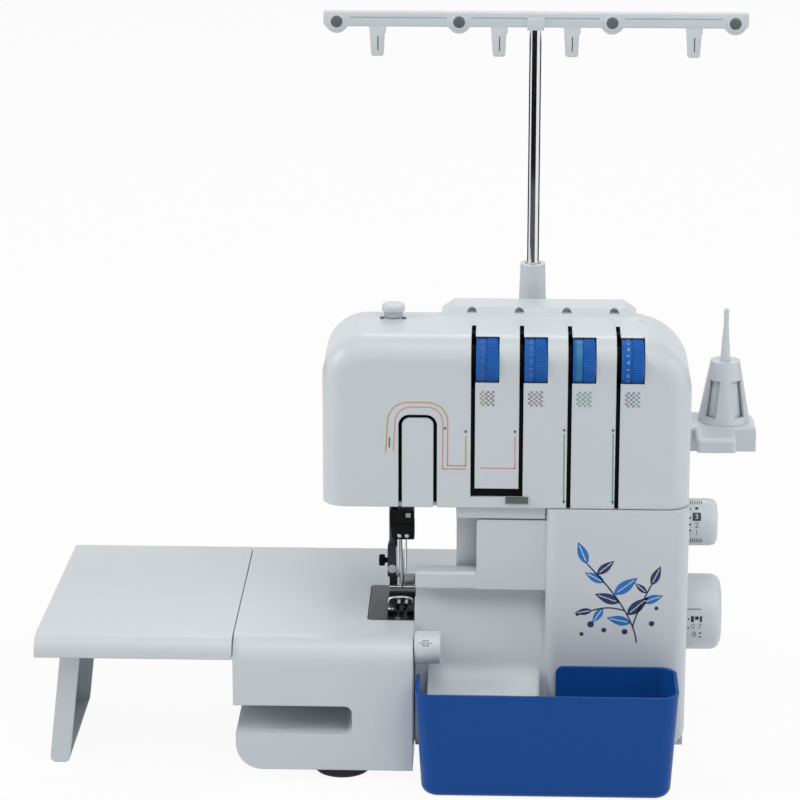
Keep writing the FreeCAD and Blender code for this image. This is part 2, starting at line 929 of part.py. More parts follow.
def make_head_front():
    """The head's front casing with its slots and windows."""
    outer = head_prism("head_outer", as_size(0), (head_front, head_split))
    hollow = head_prism("head_hollow", wall, (head_front + wall, head_split + S.over))
    through = (head_front - S.over, head_front + wall + S.over)
    low = S.head_bottom - S.over
    half = S.slot_width / 2
    tools = [hollow]
    for index, slot in enumerate(SLOTS):
        bottom = S.head_bottom + S.slot_short if index < SHORT_SLOTS else low
        shoulder = head_top - S.head_edge
        tools.append(block(f"slot_front_{index}", (slot - half, slot + half), through, (bottom, shoulder)))
        tools.append(
            block(
                f"slot_top_{index}",
                (slot - half, slot + half),
                (head_front - S.over, head_front + S.slot_back),
                (shoulder - S.over, head_top + S.over),
            )
        )
        tools.append(
            block(
                f"window_{index}",
                (slot, slot + half + S.dial_width + S.slip * 2),
                (head_front - S.over, head_front + S.window_depth),
                (head_top - S.window_height, head_top + S.over),
            )
        )
        tools.append(
            rod(
                f"dial_well_{index}",
                "x",
                dial_axis,
                S.dial_radius + S.dial_gap,
                (slot, slot + half + S.dial_width + S.slip * 2),
            )
        )
    strip_low = S.head_bottom + S.slot_short - S.strip_gap
    tools.append(
        block(
            "strip_gap_cut",
            (SLOTS[0] - half, SLOTS[1] + half),
            through,
            (strip_low, strip_low + S.strip_gap),
        )
    )
    left = X0 - S.tongue_left - S.tongue_gap
    right = X0 - S.tongue_left + S.tongue_width + S.tongue_gap
    top = S.head_bottom + S.tongue_height + S.tongue_gap
    ring = prism("tongue_hole", "xz", [(left, low), (right, low), (right, top), (left, top)], through)
    soften(ring, S.tongue_corner + S.tongue_gap, {"x": left, "z": top}, {"x": right, "z": top})
    tools.append(ring)
    floor = (low, S.head_bottom + wall + S.over)
    tools.append(
        block(
            "needle_port",
            (X0 - S.arm_left, X0 + S.arm_right),
            (head_front + wall * 4, head_split + S.over),
            floor,
        )
    )
    tools.append(
        rod(
            "knob_hole",
            "z",
            presser,
            S.knob_stem + S.running,
            (head_top - wall - S.over, head_top + S.over),
        )
    )
    shell = cut("head_cut", outer, *tools)
    lip = block(
        "throat_lip_block",
        (column_left, X0 + S.cover_split - S.seam),
        (Y0 + S.cover_setback + S.cover_step, Y0 + S.cover_setback + S.cover_step + S.throat_lip_depth),
        (S.head_bottom - S.throat_lip + S.seam, S.head_bottom),
    )
    node("head_front_casing", fuse("head_front_fuse", shell, lip))

    left = X0 - S.tongue_left
    right = left + S.tongue_width
    top = S.head_bottom + S.tongue_height
    face = (head_front, head_front + wall)
    tongue = prism(
        "tongue_face",
        "xz",
        [(left, S.head_bottom), (right, S.head_bottom), (right, top), (left, top)],
        face,
    )
    soften(tongue, S.tongue_corner, {"x": left, "z": top}, {"x": right, "z": top})
    middle = left + S.tongue_width / 2
    boss = rod(
        "tongue_stalk",
        "y",
        (middle, S.head_bottom + S.tongue_height / 2),
        S.tongue_boss,
        (face[0] + wall / 2, head_front + S.guard_depth),
    )
    node("take_up_cover", fuse("tongue_fuse", tongue, boss))


def ridge_height_at(back):
    """The height of the rear casing's sloping top at a distance back."""
    return head_top - (back - head_split) * rear_slope


def make_rear():
    """The rear casing: the head's back, the column and the low shelf behind the loopers."""
    head = prism(
        "rear_head",
        "yz",
        [
            (head_split, S.head_bottom),
            (head_split, head_top),
            (body_back, head_top - S.rear_drop),
            (body_back, S.head_bottom),
        ],
        (head_left, body_right),
    )
    soften_slope(head, S.head_left_corner, head_left)
    soften_slope(head, S.head_right_corner, body_right)
    column = block(
        "rear_column",
        (column_left, body_right),
        (column_front, body_back),
        (S.bed_height - wall, S.head_bottom),
    )
    low = block(
        "rear_low",
        (X0 + S.seam, body_right),
        (column_front, body_back),
        (tray_top, S.bed_height),
    )
    boss = rod(
        "rear_boss",
        "z",
        pole,
        S.boss_radius,
        (ridge_height_at(pole[1] + S.boss_radius) - wall, boss_top),
    )
    apron = block(
        "rear_apron",
        (X0 + S.seam, column_left),
        (body_back - wall, bed_back),
        (tray_top, S.bed_height),
    )
    outer = fuse("rear_outer", head, column, low, apron, boss)

    inside = (head_left + wall, body_right - wall)
    head_in = prism(
        "rear_head_in",
        "yz",
        [
            (head_split - S.over, S.head_bottom + wall),
            (head_split - S.over, head_top - wall + rear_slope * S.over),
            (body_back - wall, head_top - S.rear_drop - wall + rear_slope * wall),
            (body_back - wall, S.head_bottom + wall),
        ],
        inside,
    )
    soften_slope(head_in, S.head_left_corner - wall, inside[0])
    soften_slope(head_in, S.head_right_corner - wall, inside[1])
    column_in = block(
        "rear_column_in",
        (column_left + wall, body_right - wall),
        (column_front + wall, body_back - wall),
        (S.bed_height - wall - S.over, S.head_bottom + wall + S.over),
    )
    doorway = block(
        "rear_doorway",
        (column_left + S.column_flange, body_right - wall),
        (column_front - S.over, column_front + wall + S.over),
        (tray_top - S.over, S.head_bottom - wall),
    )
    low_in = block(
        "rear_low_in",
        (X0 - S.over, body_right - wall),
        (column_front - S.over, body_back - wall),
        (tray_top - S.over, S.bed_height - wall),
    )
    apron_in = block(
        "rear_apron_in",
        (X0 - S.over, column_left - wall),
        (body_back - wall - S.over, bed_back - wall),
        (tray_top - S.over, S.bed_height - wall),
    )
    mouth = block(
        "rear_mouth",
        (X0 - S.over, column_left + wall),
        (column_front - S.over, Y0 + S.shelf_front),
        (S.bed_height - wall - S.over, S.bed_height + S.over),
    )
    side = (body_right - wall - S.over, body_right + S.over)
    shaft_hole = rod("shaft_hole", "x", shaft, S.shaft_radius + S.over, side)
    stub_hole = rod("length_hole", "x", (shaft[0], S.length_height), S.length_stub + S.running, side)
    inlet_hole = block(
        "inlet_hole",
        side,
        (inlet_span()[0] - S.stand_off, inlet_span()[1] + S.stand_off),
        (S.inlet_height - S.inlet_tall / 2 - S.stand_off, S.inlet_height + S.inlet_tall / 2 + S.stand_off),
    )
    switch_hole = block("switch_hole", side, switch_span(S.slip), switch_rise(S.slip * 2))
    tube_hole = rod(
        "tube_hole",
        "z",
        pole,
        S.pole_radius + S.running + S.tube_wall,
        (S.bed_height, sleeve_top),
    )
    lifter_hole = block(
        "lifter_hole",
        (X0 - S.lifter_left - S.over, X0 - S.lifter_left + S.lifter_thick + S.over),
        (Y0 + S.lifter_back - S.lifter_boss - S.over, Y0 + S.lifter_back + S.lifter_drop),
        (S.head_bottom - S.over, S.head_bottom + wall + S.over),
    )
    holes = (shaft_hole, stub_hole, inlet_hole, switch_hole, tube_hole, lifter_hole)
    node("rear_casing", cut("rear_cut", outer, head_in, column_in, doorway, low_in, apron_in, mouth, *holes))


def soften_slope(body, radius, across):
    """Round the sloping top edge of the rear head at one end."""
    tip = body.Tip
    names = []
    for index, edge in enumerate(tip.Shape.Edges, start=1):
        ends = [vertex.Point for vertex in edge.Vertexes]
        if len(ends) < 2 or not lies(edge, {"x": across}):
            continue
        top = min(end.z for end in ends) > as_size(S.head_bottom + wall + S.over).value
        if top and abs(ends[0].y - ends[1].y) > SIZES["over"] / 2:
            names.append(f"Edge{index}")
    fillet = body.newObject("PartDesign::Fillet", f"{body.Name}_slope_round")
    fillet.Base = (tip, names)
    bind(fillet, "Radius", radius)
    doc.recompute()
    return body


def inlet_span():
    """The inlet's body from front to back."""
    middle = body_back - S.inlet_inset
    return (middle - S.inlet_breadth / 2, middle + S.inlet_breadth / 2)


def switch_span(gap):
    """The switch from front to back, with a gap round it."""
    middle = body_back - S.inlet_inset
    return (middle - S.switch_breadth / 2 - gap, middle + S.switch_breadth / 2 + gap)


def switch_rise(gap):
    """The switch from bottom to top, with a gap round it."""
    return (S.switch_height - S.switch_tall / 2 - gap, S.switch_height + S.switch_tall / 2 + gap)


def make_tension():
    """Housings, posts, discs and dials of the four tension units, and the guards' black plates."""
    half = S.slot_width / 2
    floor = S.head_bottom + wall
    top = head_top - wall - S.housing_head
    housings = []
    posts = []
    discs = []
    for index, slot in enumerate(SLOTS, start=1):
        face = slot - half
        back = head_front + S.housing_front + S.housing_depth
        side = block(
            f"housing_side_{index}",
            (face - S.housing_wall, face),
            (head_front + S.housing_front, back),
            (floor, top),
        )
        rear = block(
            f"housing_rear_{index}",
            (face - S.housing_wall, slot + half - S.slip),
            (back - S.housing_back, back),
            (floor, top),
        )
        bore = rod(
            f"post_hole_{index}",
            "x",
            dial_axis,
            S.post_radius,
            (face - S.housing_wall - S.over, face + S.over),
        )
        housings.append(cut(f"housing_{index}", fuse(f"housing_sides_{index}", side, rear), bore))
        end = slot + half + S.slip + S.dial_width
        posts.append(rod(f"post_{index}", "x", dial_axis, S.post_radius, (face - S.housing_wall, end)))
        for number in (1, 2):
            low = face + S.slip + (S.disc_thick + S.slip) * (number - 1)
            plain = rod(
                f"disc_blank_{index}_{number}",
                "x",
                dial_axis,
                S.disc_radius,
                (low, low + S.disc_thick),
            )
            eye = rod(
                f"disc_eye_{index}_{number}",
                "x",
                dial_axis,
                S.post_radius + S.running,
                (low - S.over, low + S.disc_thick + S.over),
            )
            discs.append(cut(f"disc_{index}_{number}", plain, eye))
        dial = turned(
            f"dial_blank_{index}",
            "x",
            (slot + half + S.slip, dial_axis[0], dial_axis[1]),
            [
                (S.post_radius + S.running, as_size(0)),
                (S.dial_radius, as_size(0)),
                (S.dial_radius, S.dial_width),
                (S.post_radius + S.running, S.dial_width),
            ],
        )
        soften(
            dial,
            S.dial_round,
            {"x": S.dial_radius, "z": as_size(0)},
            {"x": S.dial_radius, "z": S.dial_width},
        )
        node(f"tension_dial_{index}", dial)
    left = X0 - S.tongue_left - S.tongue_gap - S.guard_margin
    right = X0 - S.tongue_left + S.tongue_width + S.tongue_gap + S.guard_margin
    guard = block(
        "take_up_guard",
        (left, right),
        (head_front + S.guard_depth, head_front + S.guard_depth + S.housing_wall),
        (floor, S.head_bottom + S.tongue_height + S.tongue_gap + S.guard_margin),
    )
    node("tension_housings", group("housings", guard, *housings))
    node("tension_posts", group("posts", *posts))
    node("tension_discs", group("discs", *discs))


def make_guides():
    """The thread-guide ridge on top and the small guide plate low on the head."""
    front = Y0 + S.ridge_front + S.head_setback
    back = front + S.ridge_depth
    top = head_top + S.ridge_height
    ridge = prism(
        "ridge_blank",
        "yz",
        [
            (front, head_top),
            (front + S.ridge_lean, top),
            (back, top),
            (back, ridge_height_at(back)),
            (head_split, head_top),
        ],
        (X0 + S.ridge_left, X0 + S.ridge_left + S.ridge_length),
    )
    eyelets = []
    right = X0 + S.ridge_left + S.ridge_length
    for tag, end, inward in (("left", X0 + S.ridge_left, 1), ("right", right, -1)):
        inner = end + S.ridge_slant * inward
        outer = end - S.over * inward
        above = top + S.over
        wedge = [(end, head_top), (inner, top), (inner, above), (outer, above), (outer, head_top)]
        eyelets.append(prism(f"ridge_wedge_{tag}", "xz", wedge, (front - S.over, back + S.over)))
    for index in range(THREADS):
        across = X0 + S.eyelet_first + S.slot_pitch * index
        height = head_top + S.eyelet_rise
        hole = rod(
            f"eyelet_round_{index}", "y", (across, height), S.eyelet_radius, (front, front + S.eyelet_depth)
        )
        upper = block(
            f"eyelet_upper_{index}",
            (across - S.eyelet_radius * 2, across + S.eyelet_radius * 2),
            (front - S.over, front + S.eyelet_depth + S.over),
            (height, head_top + S.ridge_height),
        )
        eyelets.append(shared(f"eyelet_{index}", hole, upper))
    node("thread_guide_ridge", cut("ridge_cut", ridge, *eyelets))
    low = S.head_bottom + S.slot_short - S.strip_gap + S.slip
    node(
        "head_thread_guide",
        block(
            "guide_plate",
            (X0 + S.guide_left, X0 + S.guide_left + S.guide_width),
            (head_front - S.guide_thick, head_front),
            (low - S.guide_height, low),
        ),
    )


def make_pole():
    """The pole's sleeve, guide tube, sliding tube and guide bar."""
    tube_radius = S.pole_radius + S.running + S.tube_wall
    sleeve = taper(
        "sleeve_blank",
        "z",
        pole,
        (S.sleeve_low_radius, S.sleeve_high_radius),
        (boss_top, sleeve_top),
    )
    bore = rod("sleeve_bore", "z", pole, tube_radius, (boss_top - S.over, sleeve_top + S.over))
    node("pole_sleeve", cut("sleeve_cut", sleeve, bore))
    top = sleeve_top - S.over
    low = top - S.pole_overlap - S.pole_travel - S.seam
    tube = rod("tube_blank", "z", pole, tube_radius, (low - S.tube_wall, top))
    hollow = rod("tube_bore", "z", pole, S.pole_radius + S.running, (low, top + S.over))
    node("pole_guide_tube", cut("tube_cut", tube, hollow))
    node("upper_pole", rod("upper_pole_tube", "z", pole, S.pole_radius, (top - S.pole_overlap, pole_top)))

    left = pole[0] - S.bar_reach
    right = pole[0] + S.bar_reach
    depth = (pole[1] - S.bar_thick / 2, pole[1] + S.bar_thick / 2)
    middle = S.bar_bottom + S.bar_height / 2
    pieces = [block("bar_rail", (left, right), depth, (S.bar_bottom, S.bar_bottom + S.bar_height))]
    pieces.append(
        block(
            "bar_hub",
            (pole[0] - S.hub_width / 2, pole[0] + S.hub_width / 2),
            (pole[1] - S.hub_width / 2, pole[1] + S.hub_width / 2),
            (S.bar_bottom - S.hub_drop, S.bar_bottom + S.bar_height),
        )
    )
    studs = []
    for index, offset in enumerate((-S.stud_outer, -S.stud_inner, S.stud_inner, S.stud_outer)):
        spot = (pole[0] + offset, middle - S.stud_thick)
        pieces.append(rod(f"bar_boss_{index}", "y", spot, S.bar_boss, depth))
        studs.append(rod(f"stud_{index}", "y", spot, S.stud_radius, (depth[0] - S.stud_thick, depth[0])))
    slits = []
    for index, offset in enumerate((-S.hook_outer, -S.hook_inner, S.hook_inner, S.hook_outer)):
        across = pole[0] + offset
        tip = S.bar_bottom - S.hook_drop
        pieces.append(
            prism(
                f"hook_{index}",
                "xz",
                [
                    (across - S.hook_foot / 2, tip),
                    (across + S.hook_foot / 2, tip),
                    (across + S.hook_width / 2, S.bar_bottom + S.over),
                    (across - S.hook_width / 2, S.bar_bottom + S.over),
                ],
                (depth[0], depth[0] + S.hook_thick),
            )
        )
        slits.append(
            block(
                f"hook_slit_{index}",
                (across - S.hook_slit / 2, across + S.hook_slit / 2),
                (depth[0] - S.over, depth[0] + S.hook_thick + S.over),
                (tip + S.hook_sill, S.bar_bottom - S.hook_sill),
            )
        )
    socket = rod(
        "bar_socket",
        "z",
        pole,
        S.pole_radius + S.running,
        (S.bar_bottom - S.hub_drop - S.over, pole_top),
    )
    node("guide_bar", cut("bar_cut", fuse("bar_fuse", *pieces), socket, *slits))
    node("bar_studs", group("studs", *studs))


def make_stand():
    """The spool stand with its pins, cone holders and screws."""
    low = S.stand_top - S.stand_thick
    left = X0 - S.stand_left
    right = X0 + stand_reach
    front = body_back + S.seam
    back = front + S.stand_depth
    tray = prism(
        "stand_tray",
        "xy",
        [(left, front), (right, front), (right, back), (left, back)],
        (low, S.stand_top),
    )
    soften(tray, S.stand_corner, {"x": left, "y": back}, {"x": right, "y": back})
    soften(tray, S.stand_edge, {"z": S.stand_top})
    hollow = block(
        "stand_hollow",
        (left + S.stand_corner, right - S.stand_corner),
        (front + S.flange_thick * 2, back - S.flange_thick),
        (low - S.over, S.stand_top - S.flange_thick),
    )
    lug_left = X0 + S.lug_left
    lug_right = lug_left + S.lug_width
    lug_front = Y0 + S.lug_front
    lug_back = front + S.flange_thick * 2
    lug = prism(
        "stand_lug",
        "xy",
        [(lug_left, lug_front), (lug_right, lug_front), (lug_right, lug_back), (lug_left, lug_back)],
        (S.stand_top - S.lug_drop, S.stand_top),
    )
    soften(lug, S.stand_edge, {"x": lug_left, "y": lug_front}, {"x": lug_right, "y": lug_front})
    soften(lug, S.stand_edge, {"y": lug_front, "z": S.stand_top})
    flange_left = X0 + S.flange_left
    flange = block(
        "stand_flange",
        (flange_left, flange_left + S.flange_width),
        (body_back, front + S.flange_thick),
        (low - S.flange_drop, low + S.over),
    )
    node("spool_stand", fuse("stand_fuse", cut("stand_cut", tray, hollow), lug, flange))
    pins = []
    cones = []
    for index in range(THREADS):
        spot = (X0 - S.pin_first + S.pin_pitch * index, Y0 + S.pin_back)
        tip = S.stand_top + S.pin_height
        taper_end = tip - S.pin_tip_length
        pins.append(
            turned(
                f"pin_{index}",
                "z",
                (spot[0], spot[1], as_size(0)),
                [
                    (as_size(0), S.stand_top),
                    (S.pin_radius, S.stand_top),
                    (S.pin_radius, S.stand_top + S.cone_height),
                    (S.pin_tip_radius, taper_end),
                    (S.pin_tip_radius, tip - S.pin_tip_round),
                    (S.pin_tip_radius - S.pin_tip_round, tip),
                    (as_size(0), tip),
                ],
            )
        )
        cones.append(cone_holder(index, spot))
    node("spool_pins", group("pins", *pins))
    node("cone_holders", group("cones", *cones))
    heads = []
    for index, (side, rise) in enumerate(((0, 0), (1, 0), (0, 1), (1, 1))):
        across = flange_left + S.screw_inset + (S.flange_width - S.screw_inset * 2) * side
        height = low - S.flange_drop + S.screw_inset / 2 + S.screw_inset * rise
        start = front + S.flange_thick
        heads.append(
            rod(
                f"screw_{index}",
                "y",
                (across, height),
                S.screw_radius,
                (start, start + S.screw_head),
            )
        )
    node("stand_screws", group("screws", *heads))


def cone_holder(index, spot):
    """One cone with four windows round its core, standing round its pin."""
    low = S.stand_top
    top = low + S.cone_height
    grip = S.pin_radius + S.stand_off
    slope = (S.cone_low_radius - S.cone_high_radius) / S.cone_height
    inner_top = top - S.cone_wall
    shell = turned(
        f"cone_shell_{index}",
        "z",
        (spot[0], spot[1], as_size(0)),
        [
            (S.cone_low_radius - S.cone_wall, low),
            (S.cone_low_radius, low),
            (S.cone_high_radius, top),
            (grip, top),
            (grip, inner_top),
            (S.cone_high_radius - S.cone_wall + slope * S.cone_wall, inner_top),
        ],
    )
    windows = []
    reach = S.cone_low_radius + S.over
    for turn in CONE_TURNS:
        window = doc.addObject("Part::Box", f"cone_window_{index}_{turn}")
        bind(window, "Length", reach * 2)
        bind(window, "Width", S.cone_window)
        bind(window, "Height", S.cone_height - S.cone_sill - S.cone_head)
        spin = FreeCAD.Rotation(FreeCAD.Vector(0, 0, 1), turn)
        middle = FreeCAD.Vector(-reach.value, -SIZES["cone_window"] / 2, 0)
        moved = spin.multVec(middle)
        window.Placement = FreeCAD.Placement(FreeCAD.Vector(), spin)
        bind(window, "Placement.Base.x", spot[0] + moved.x)
        bind(window, "Placement.Base.y", spot[1] + moved.y)
        bind(window, "Placement.Base.z", low + S.cone_sill)
        windows.append(window)
    core = taper(
        f"cone_core_{index}",
        "z",
        spot,
        (S.cone_core_low, S.cone_core_high),
        (low, top - S.cone_wall / 2),
    )
    bore = rod(f"cone_bore_{index}", "z", spot, grip, (low - S.over, top + S.over))
    opened = cut(f"cone_open_{index}", shell, *windows)
    return cut(f"cone_{index}", fuse(f"cone_body_{index}", opened, core), bore)


def skirt_points(front):
    """The cover's left side seen from the right: lip, chute and skirt, with its wall behind."""
    face = front + S.cover_step
    deep = face + S.chute_depth
    toe = front + S.chute_toe
    lip_low = S.lip_top - S.lip_height
    low = S.cover_bottom
    return [
        (face, S.lip_top),
        (face, lip_low),
        (deep, lip_low - S.chute_toe),
        (deep, lip_low - S.chute_drop),
        (toe, S.chute_foot),
        (toe, low),
        (toe + wall, low),
        (toe + wall, S.chute_foot),
        (deep + wall, lip_low - S.chute_drop),
        (deep + wall, S.lip_top),
    ]


def skirt(name, span):
    """The cover's skirt between two places across, with its bends rounded."""
    front = Y0 + S.cover_setback
    face = front + S.cover_step
    deep = face + S.chute_depth
    toe = front + S.chute_toe
    lip_low = S.lip_top - S.lip_height
    body = prism(name, "yz", skirt_points(front), span)
    soften(body, S.chute_bend, {"y": toe, "z": S.chute_foot})
    soften(body, S.chute_bend - wall, {"y": toe + wall, "z": S.chute_foot})
    soften(body, S.lip_edge, {"y": face, "z": S.lip_top}, {"y": face, "z": lip_low})
    soften(body, S.chute_toe, {"y": deep, "z": lip_low - S.chute_drop})
    return body


def make_cover():
    """The front cover with its chute, the fixed chute piece and the hinge rod."""
    front = Y0 + S.cover_setback
    back = column_front - S.seam
    left = X0 + S.cover_split
    top = S.head_bottom - S.seam
    low = S.cover_bottom
    big = prism(
        "cover_block",
        "xz",
        [(left, low), (body_right, low), (body_right, top), (left, top)],
        (front, back),
    )
    soften(big, S.cover_corner, {"x": body_right, "z": low})
    soften(big, S.cover_side_edge, {"x": left, "y": front}, {"x": body_right, "y": front})
    hollow = prism(
        "cover_hollow",
        "xz",
        [
            (left + wall, low + wall),
            (body_right - wall, low + wall),
            (body_right - wall, top - wall),
            (left + wall, top - wall),
        ],
        (front + wall, back + S.over),
    )
    soften(hollow, S.cover_corner - wall, {"x": body_right - wall, "z": low + wall})
    inner_front = front + wall
    soften(
        hollow,
        S.cover_side_edge - wall,
        {"x": left + wall, "y": inner_front},
        {"x": body_right - wall, "y": inner_front},
    )
    relief = block(
        "cover_relief",
        (left - S.over, body_right + S.over),
        (hinge[0] - S.hinge_relief, back + S.over),
        (low - S.over, hinge[1] - S.slip),
    )
    shell = cut("cover_shell", big, hollow, relief)
    side = skirt("cover_skirt", (X0 + S.cover_left, left + wall))
    face = front + S.cover_step
    mid_low = S.lip_top - S.lip_height
    middle = prism(
        "cover_middle",
        "xz",
        [
            (X0 + S.cover_mid, mid_low),
            (left + wall, mid_low),
            (left + wall, mid_top),
            (X0 + S.cover_mid, mid_top),
        ],
        (face, face + S.mid_thick),
    )
    soften(middle, S.mid_corner, {"x": X0 + S.cover_mid, "z": mid_top})
    pieces = [shell, side, middle]
    inner = front + wall / 2
    for tag, start, face in (
        ("left", S.knuckle_first, inner + S.chute_toe),
        ("right", knuckle_last, inner),
    ):
        span = (X0 + start, X0 + start + S.knuckle_width)
        pieces.append(rod(f"knuckle_{tag}", "x", hinge, S.knuckle_radius, span))
        pieces.append(
            block(
                f"knuckle_web_{tag}",
                span,
                (face, hinge[0]),
                (hinge[1] - S.knuckle_radius, hinge[1] + S.knuckle_radius),
            )
        )
    bore = rod("cover_bore", "x", hinge, S.hinge_radius + S.running, (X0, body_right + S.over))
    notch = block(
        "cover_notch",
        (X0, X0 + S.shroud_width + S.shroud_gap),
        (front - S.over, back + S.over),
        (shroud_low - S.shroud_gap, shroud_high + S.shroud_gap),
    )
    node("front_cover", cut("cover_cut", fuse("cover_fuse", *pieces), bore, notch))

    strip = skirt("shroud_skirt", (X0, X0 + S.shroud_width))
    keep = block(
        "shroud_keep",
        (X0, X0 + S.shroud_width + S.over),
        (front - S.over, column_front),
        (shroud_low, shroud_high),
    )
    node("chute_side", shared("shroud_strip", strip, keep))
    end = X0 + knuckle_last + S.knuckle_width + S.cover_travel + S.slip * 2 + S.bracket_width
    node("cover_hinge_rod", rod("hinge_rod", "x", hinge, S.hinge_radius, (X0 + S.knuckle_first, end)))


def make_bin():
    """The trim bin: a drafted tray open at the top and cut away at the left of its back."""
    left = X0 + S.bin_left
    right = left + S.bin_length
    back = Y0 + S.cover_setback - S.bin_gap
    front = back - S.bin_depth

    def tub(name, inset, low):
        body = doc.addObject("PartDesign::Body", name)
        sketch = outline(
            body,
            "xy",
            [
                (left + inset, front + inset),
                (right - inset, front + inset),
                (right - inset, back - inset),
                (left + inset, back - inset),
            ],
        )
        bind(sketch, "AttachmentOffset.Base.z", S.bin_height + inset / 2)
        pad = body.newObject("PartDesign::Pad", f"{name}_pad")
        pad.Profile = sketch
        pad.Reversed = True
        bind(pad, "Length", S.bin_height + inset / 2 - low)
        bind(pad, "TaperAngle", -S.bin_draft)
        doc.recompute()
        names = []
        flat = []
        for index, edge in enumerate(pad.Shape.Edges, start=1):
            ends = [vertex.Point.z for vertex in edge.Vertexes]
            if abs(ends[0] - ends[-1]) > SIZES["over"]:
                names.append(f"Edge{index}")
        fillet = body.newObject("PartDesign::Fillet", f"{name}_sides")
        fillet.Base = (pad, names)
        bind(fillet, "Radius", S.bin_corner - inset)
        doc.recompute()
        for index, edge in enumerate(fillet.Shape.Edges, start=1):
            if lies(edge, {"z": low}):
                flat.append(f"Edge{index}")
        sole = body.newObject("PartDesign::Fillet", f"{name}_sole")
        sole.Base = (fillet, flat)
        bind(sole, "Radius", S.bin_sole - inset)
        doc.recompute()
        return body

    outer = tub("bin_outer", as_size(0), as_size(0))
    hollow = tub("bin_hollow", S.bin_wall, S.bin_wall)
    gate = prism(
        "bin_gate",
        "xz",
        [
            (left - S.over, S.bin_cut_sill),
            (X0 + S.bin_cut_right, S.bin_cut_sill),
            (X0 + S.bin_cut_right, S.bin_height),
            (right, S.bin_height),
            (right, S.bin_height + S.over),
            (left - S.over, S.bin_height + S.over),
        ],
        (Y0 + S.bin_cut_front, back + S.over),
    )
    soften(gate, S.bin_cut_round, {"x": X0 + S.bin_cut_right, "z": S.bin_height})
    node("trim_bin", cut("bin_cut", outer, hollow, gate))


def make_table():
    """The wide table, its folding leg and the leg's pin."""
    right = arm_left - S.seam
    left = right - S.table_length
    low = S.bed_height - S.table_edge
    tip = left + S.table_taper
    outer = prism(
        "table_outer",
        "xy",
        [(left, Y0), (right, Y0), (right, bed_back), (tip, bed_back)],
        (low, S.bed_height),
    )
    soften(outer, S.table_round, {"y": Y0, "z": S.bed_height})
    skin = S.table_skin
    hollow = prism(
        "table_hollow",
        "xy",
        [
            (left + skin, Y0 + skin),
            (right - skin, Y0 + skin),
            (right - skin, bed_back - skin),
            (tip + skin, bed_back - skin),
        ],
        (low - S.over, S.bed_height - skin),
    )
    soften(hollow, S.table_round - skin, {"y": Y0 + skin, "z": S.bed_height - skin})
    shell = cut("table_shell", outer, hollow)
    pieces = [shell]
    for tag, start in (("front", Y0 + S.tongue_front), ("back", bed_back - S.tongue_inset)):
        pieces.append(
            block(
                f"table_tongue_{tag}",
                (right - skin, right + S.tongue_reach),
                (start, start + S.tongue_breadth),
                (tongue_low(), tongue_low() + S.tongue_thick),
            )
        )
    pivot = (left + S.leg_right, S.bed_height - S.leg_pin_drop)
    near = Y0 + S.leg_front
    far = near + S.leg_depth
    for tag, start in (("front", near - S.slip - S.lug_thick), ("back", far + S.slip)):
        pieces.append(
            block(
                f"table_lug_{tag}",
                (pivot[0] - S.leg_knuckle, pivot[0] + S.leg_knuckle),
                (start, start + S.lug_thick),
                (pivot[1] - S.leg_knuckle, S.bed_height - skin / 2),
            )
        )
    pin_span = (near - S.slip - S.lug_thick, far + S.slip + S.lug_thick)
    bore = rod("table_bore", "y", pivot, S.leg_pin_radius, pin_span)
    node("wide_table", cut("table_cut", fuse("table_fuse", *pieces), bore))
    node("leg_pin", rod("leg_pin_rod", "y", pivot, S.leg_pin_radius, pin_span))

    half = S.leg_thick / 2
    lean = S.leg_lean
    top = pivot[1]
    zero = as_size(0)
    panel = prism(
        "leg_panel",
        "xz",
        [
            (pivot[0] - half, top),
            (pivot[0] - half - lean, zero),
            (pivot[0] + half - lean, zero),
            (pivot[0] + half, top),
        ],
        (near, far),
    )
    soften(
        panel,
        S.leg_round,
        {"x": pivot[0] - half - lean, "z": zero},
        {"x": pivot[0] + half - lean, "z": zero},
    )
    rim = S.leg_wall
    slope = lean / top
    recess = prism(
        "leg_recess",
        "xz",
        [
            (pivot[0] - half + rim - slope * S.leg_knuckle * 2, top - S.leg_knuckle * 2),
            (pivot[0] - half + rim - lean + slope * rim, rim),
            (pivot[0] + half + rim - lean, rim),
            (pivot[0] + half + rim, top - S.leg_knuckle * 2),
        ],
        (near + rim, far - rim),
    )
    knuckle = rod("leg_knuckle_rod", "y", pivot, S.leg_knuckle, (near, far))
    hole = rod("leg_bore", "y", pivot, S.leg_pin_radius + S.running, (near - S.over, far + S.over))
    shoulder = block(
        "leg_shoulder",
        (pivot[0] - half - S.over, pivot[0] + half + S.over),
        (near - S.over, far + S.over),
        (S.bed_height - S.table_edge - S.slip, S.bed_height),
    )
    blade = cut("leg_trim", panel, recess, shoulder)
    node("table_leg", cut("leg_cut", fuse("leg_fuse", blade, knuckle), hole))


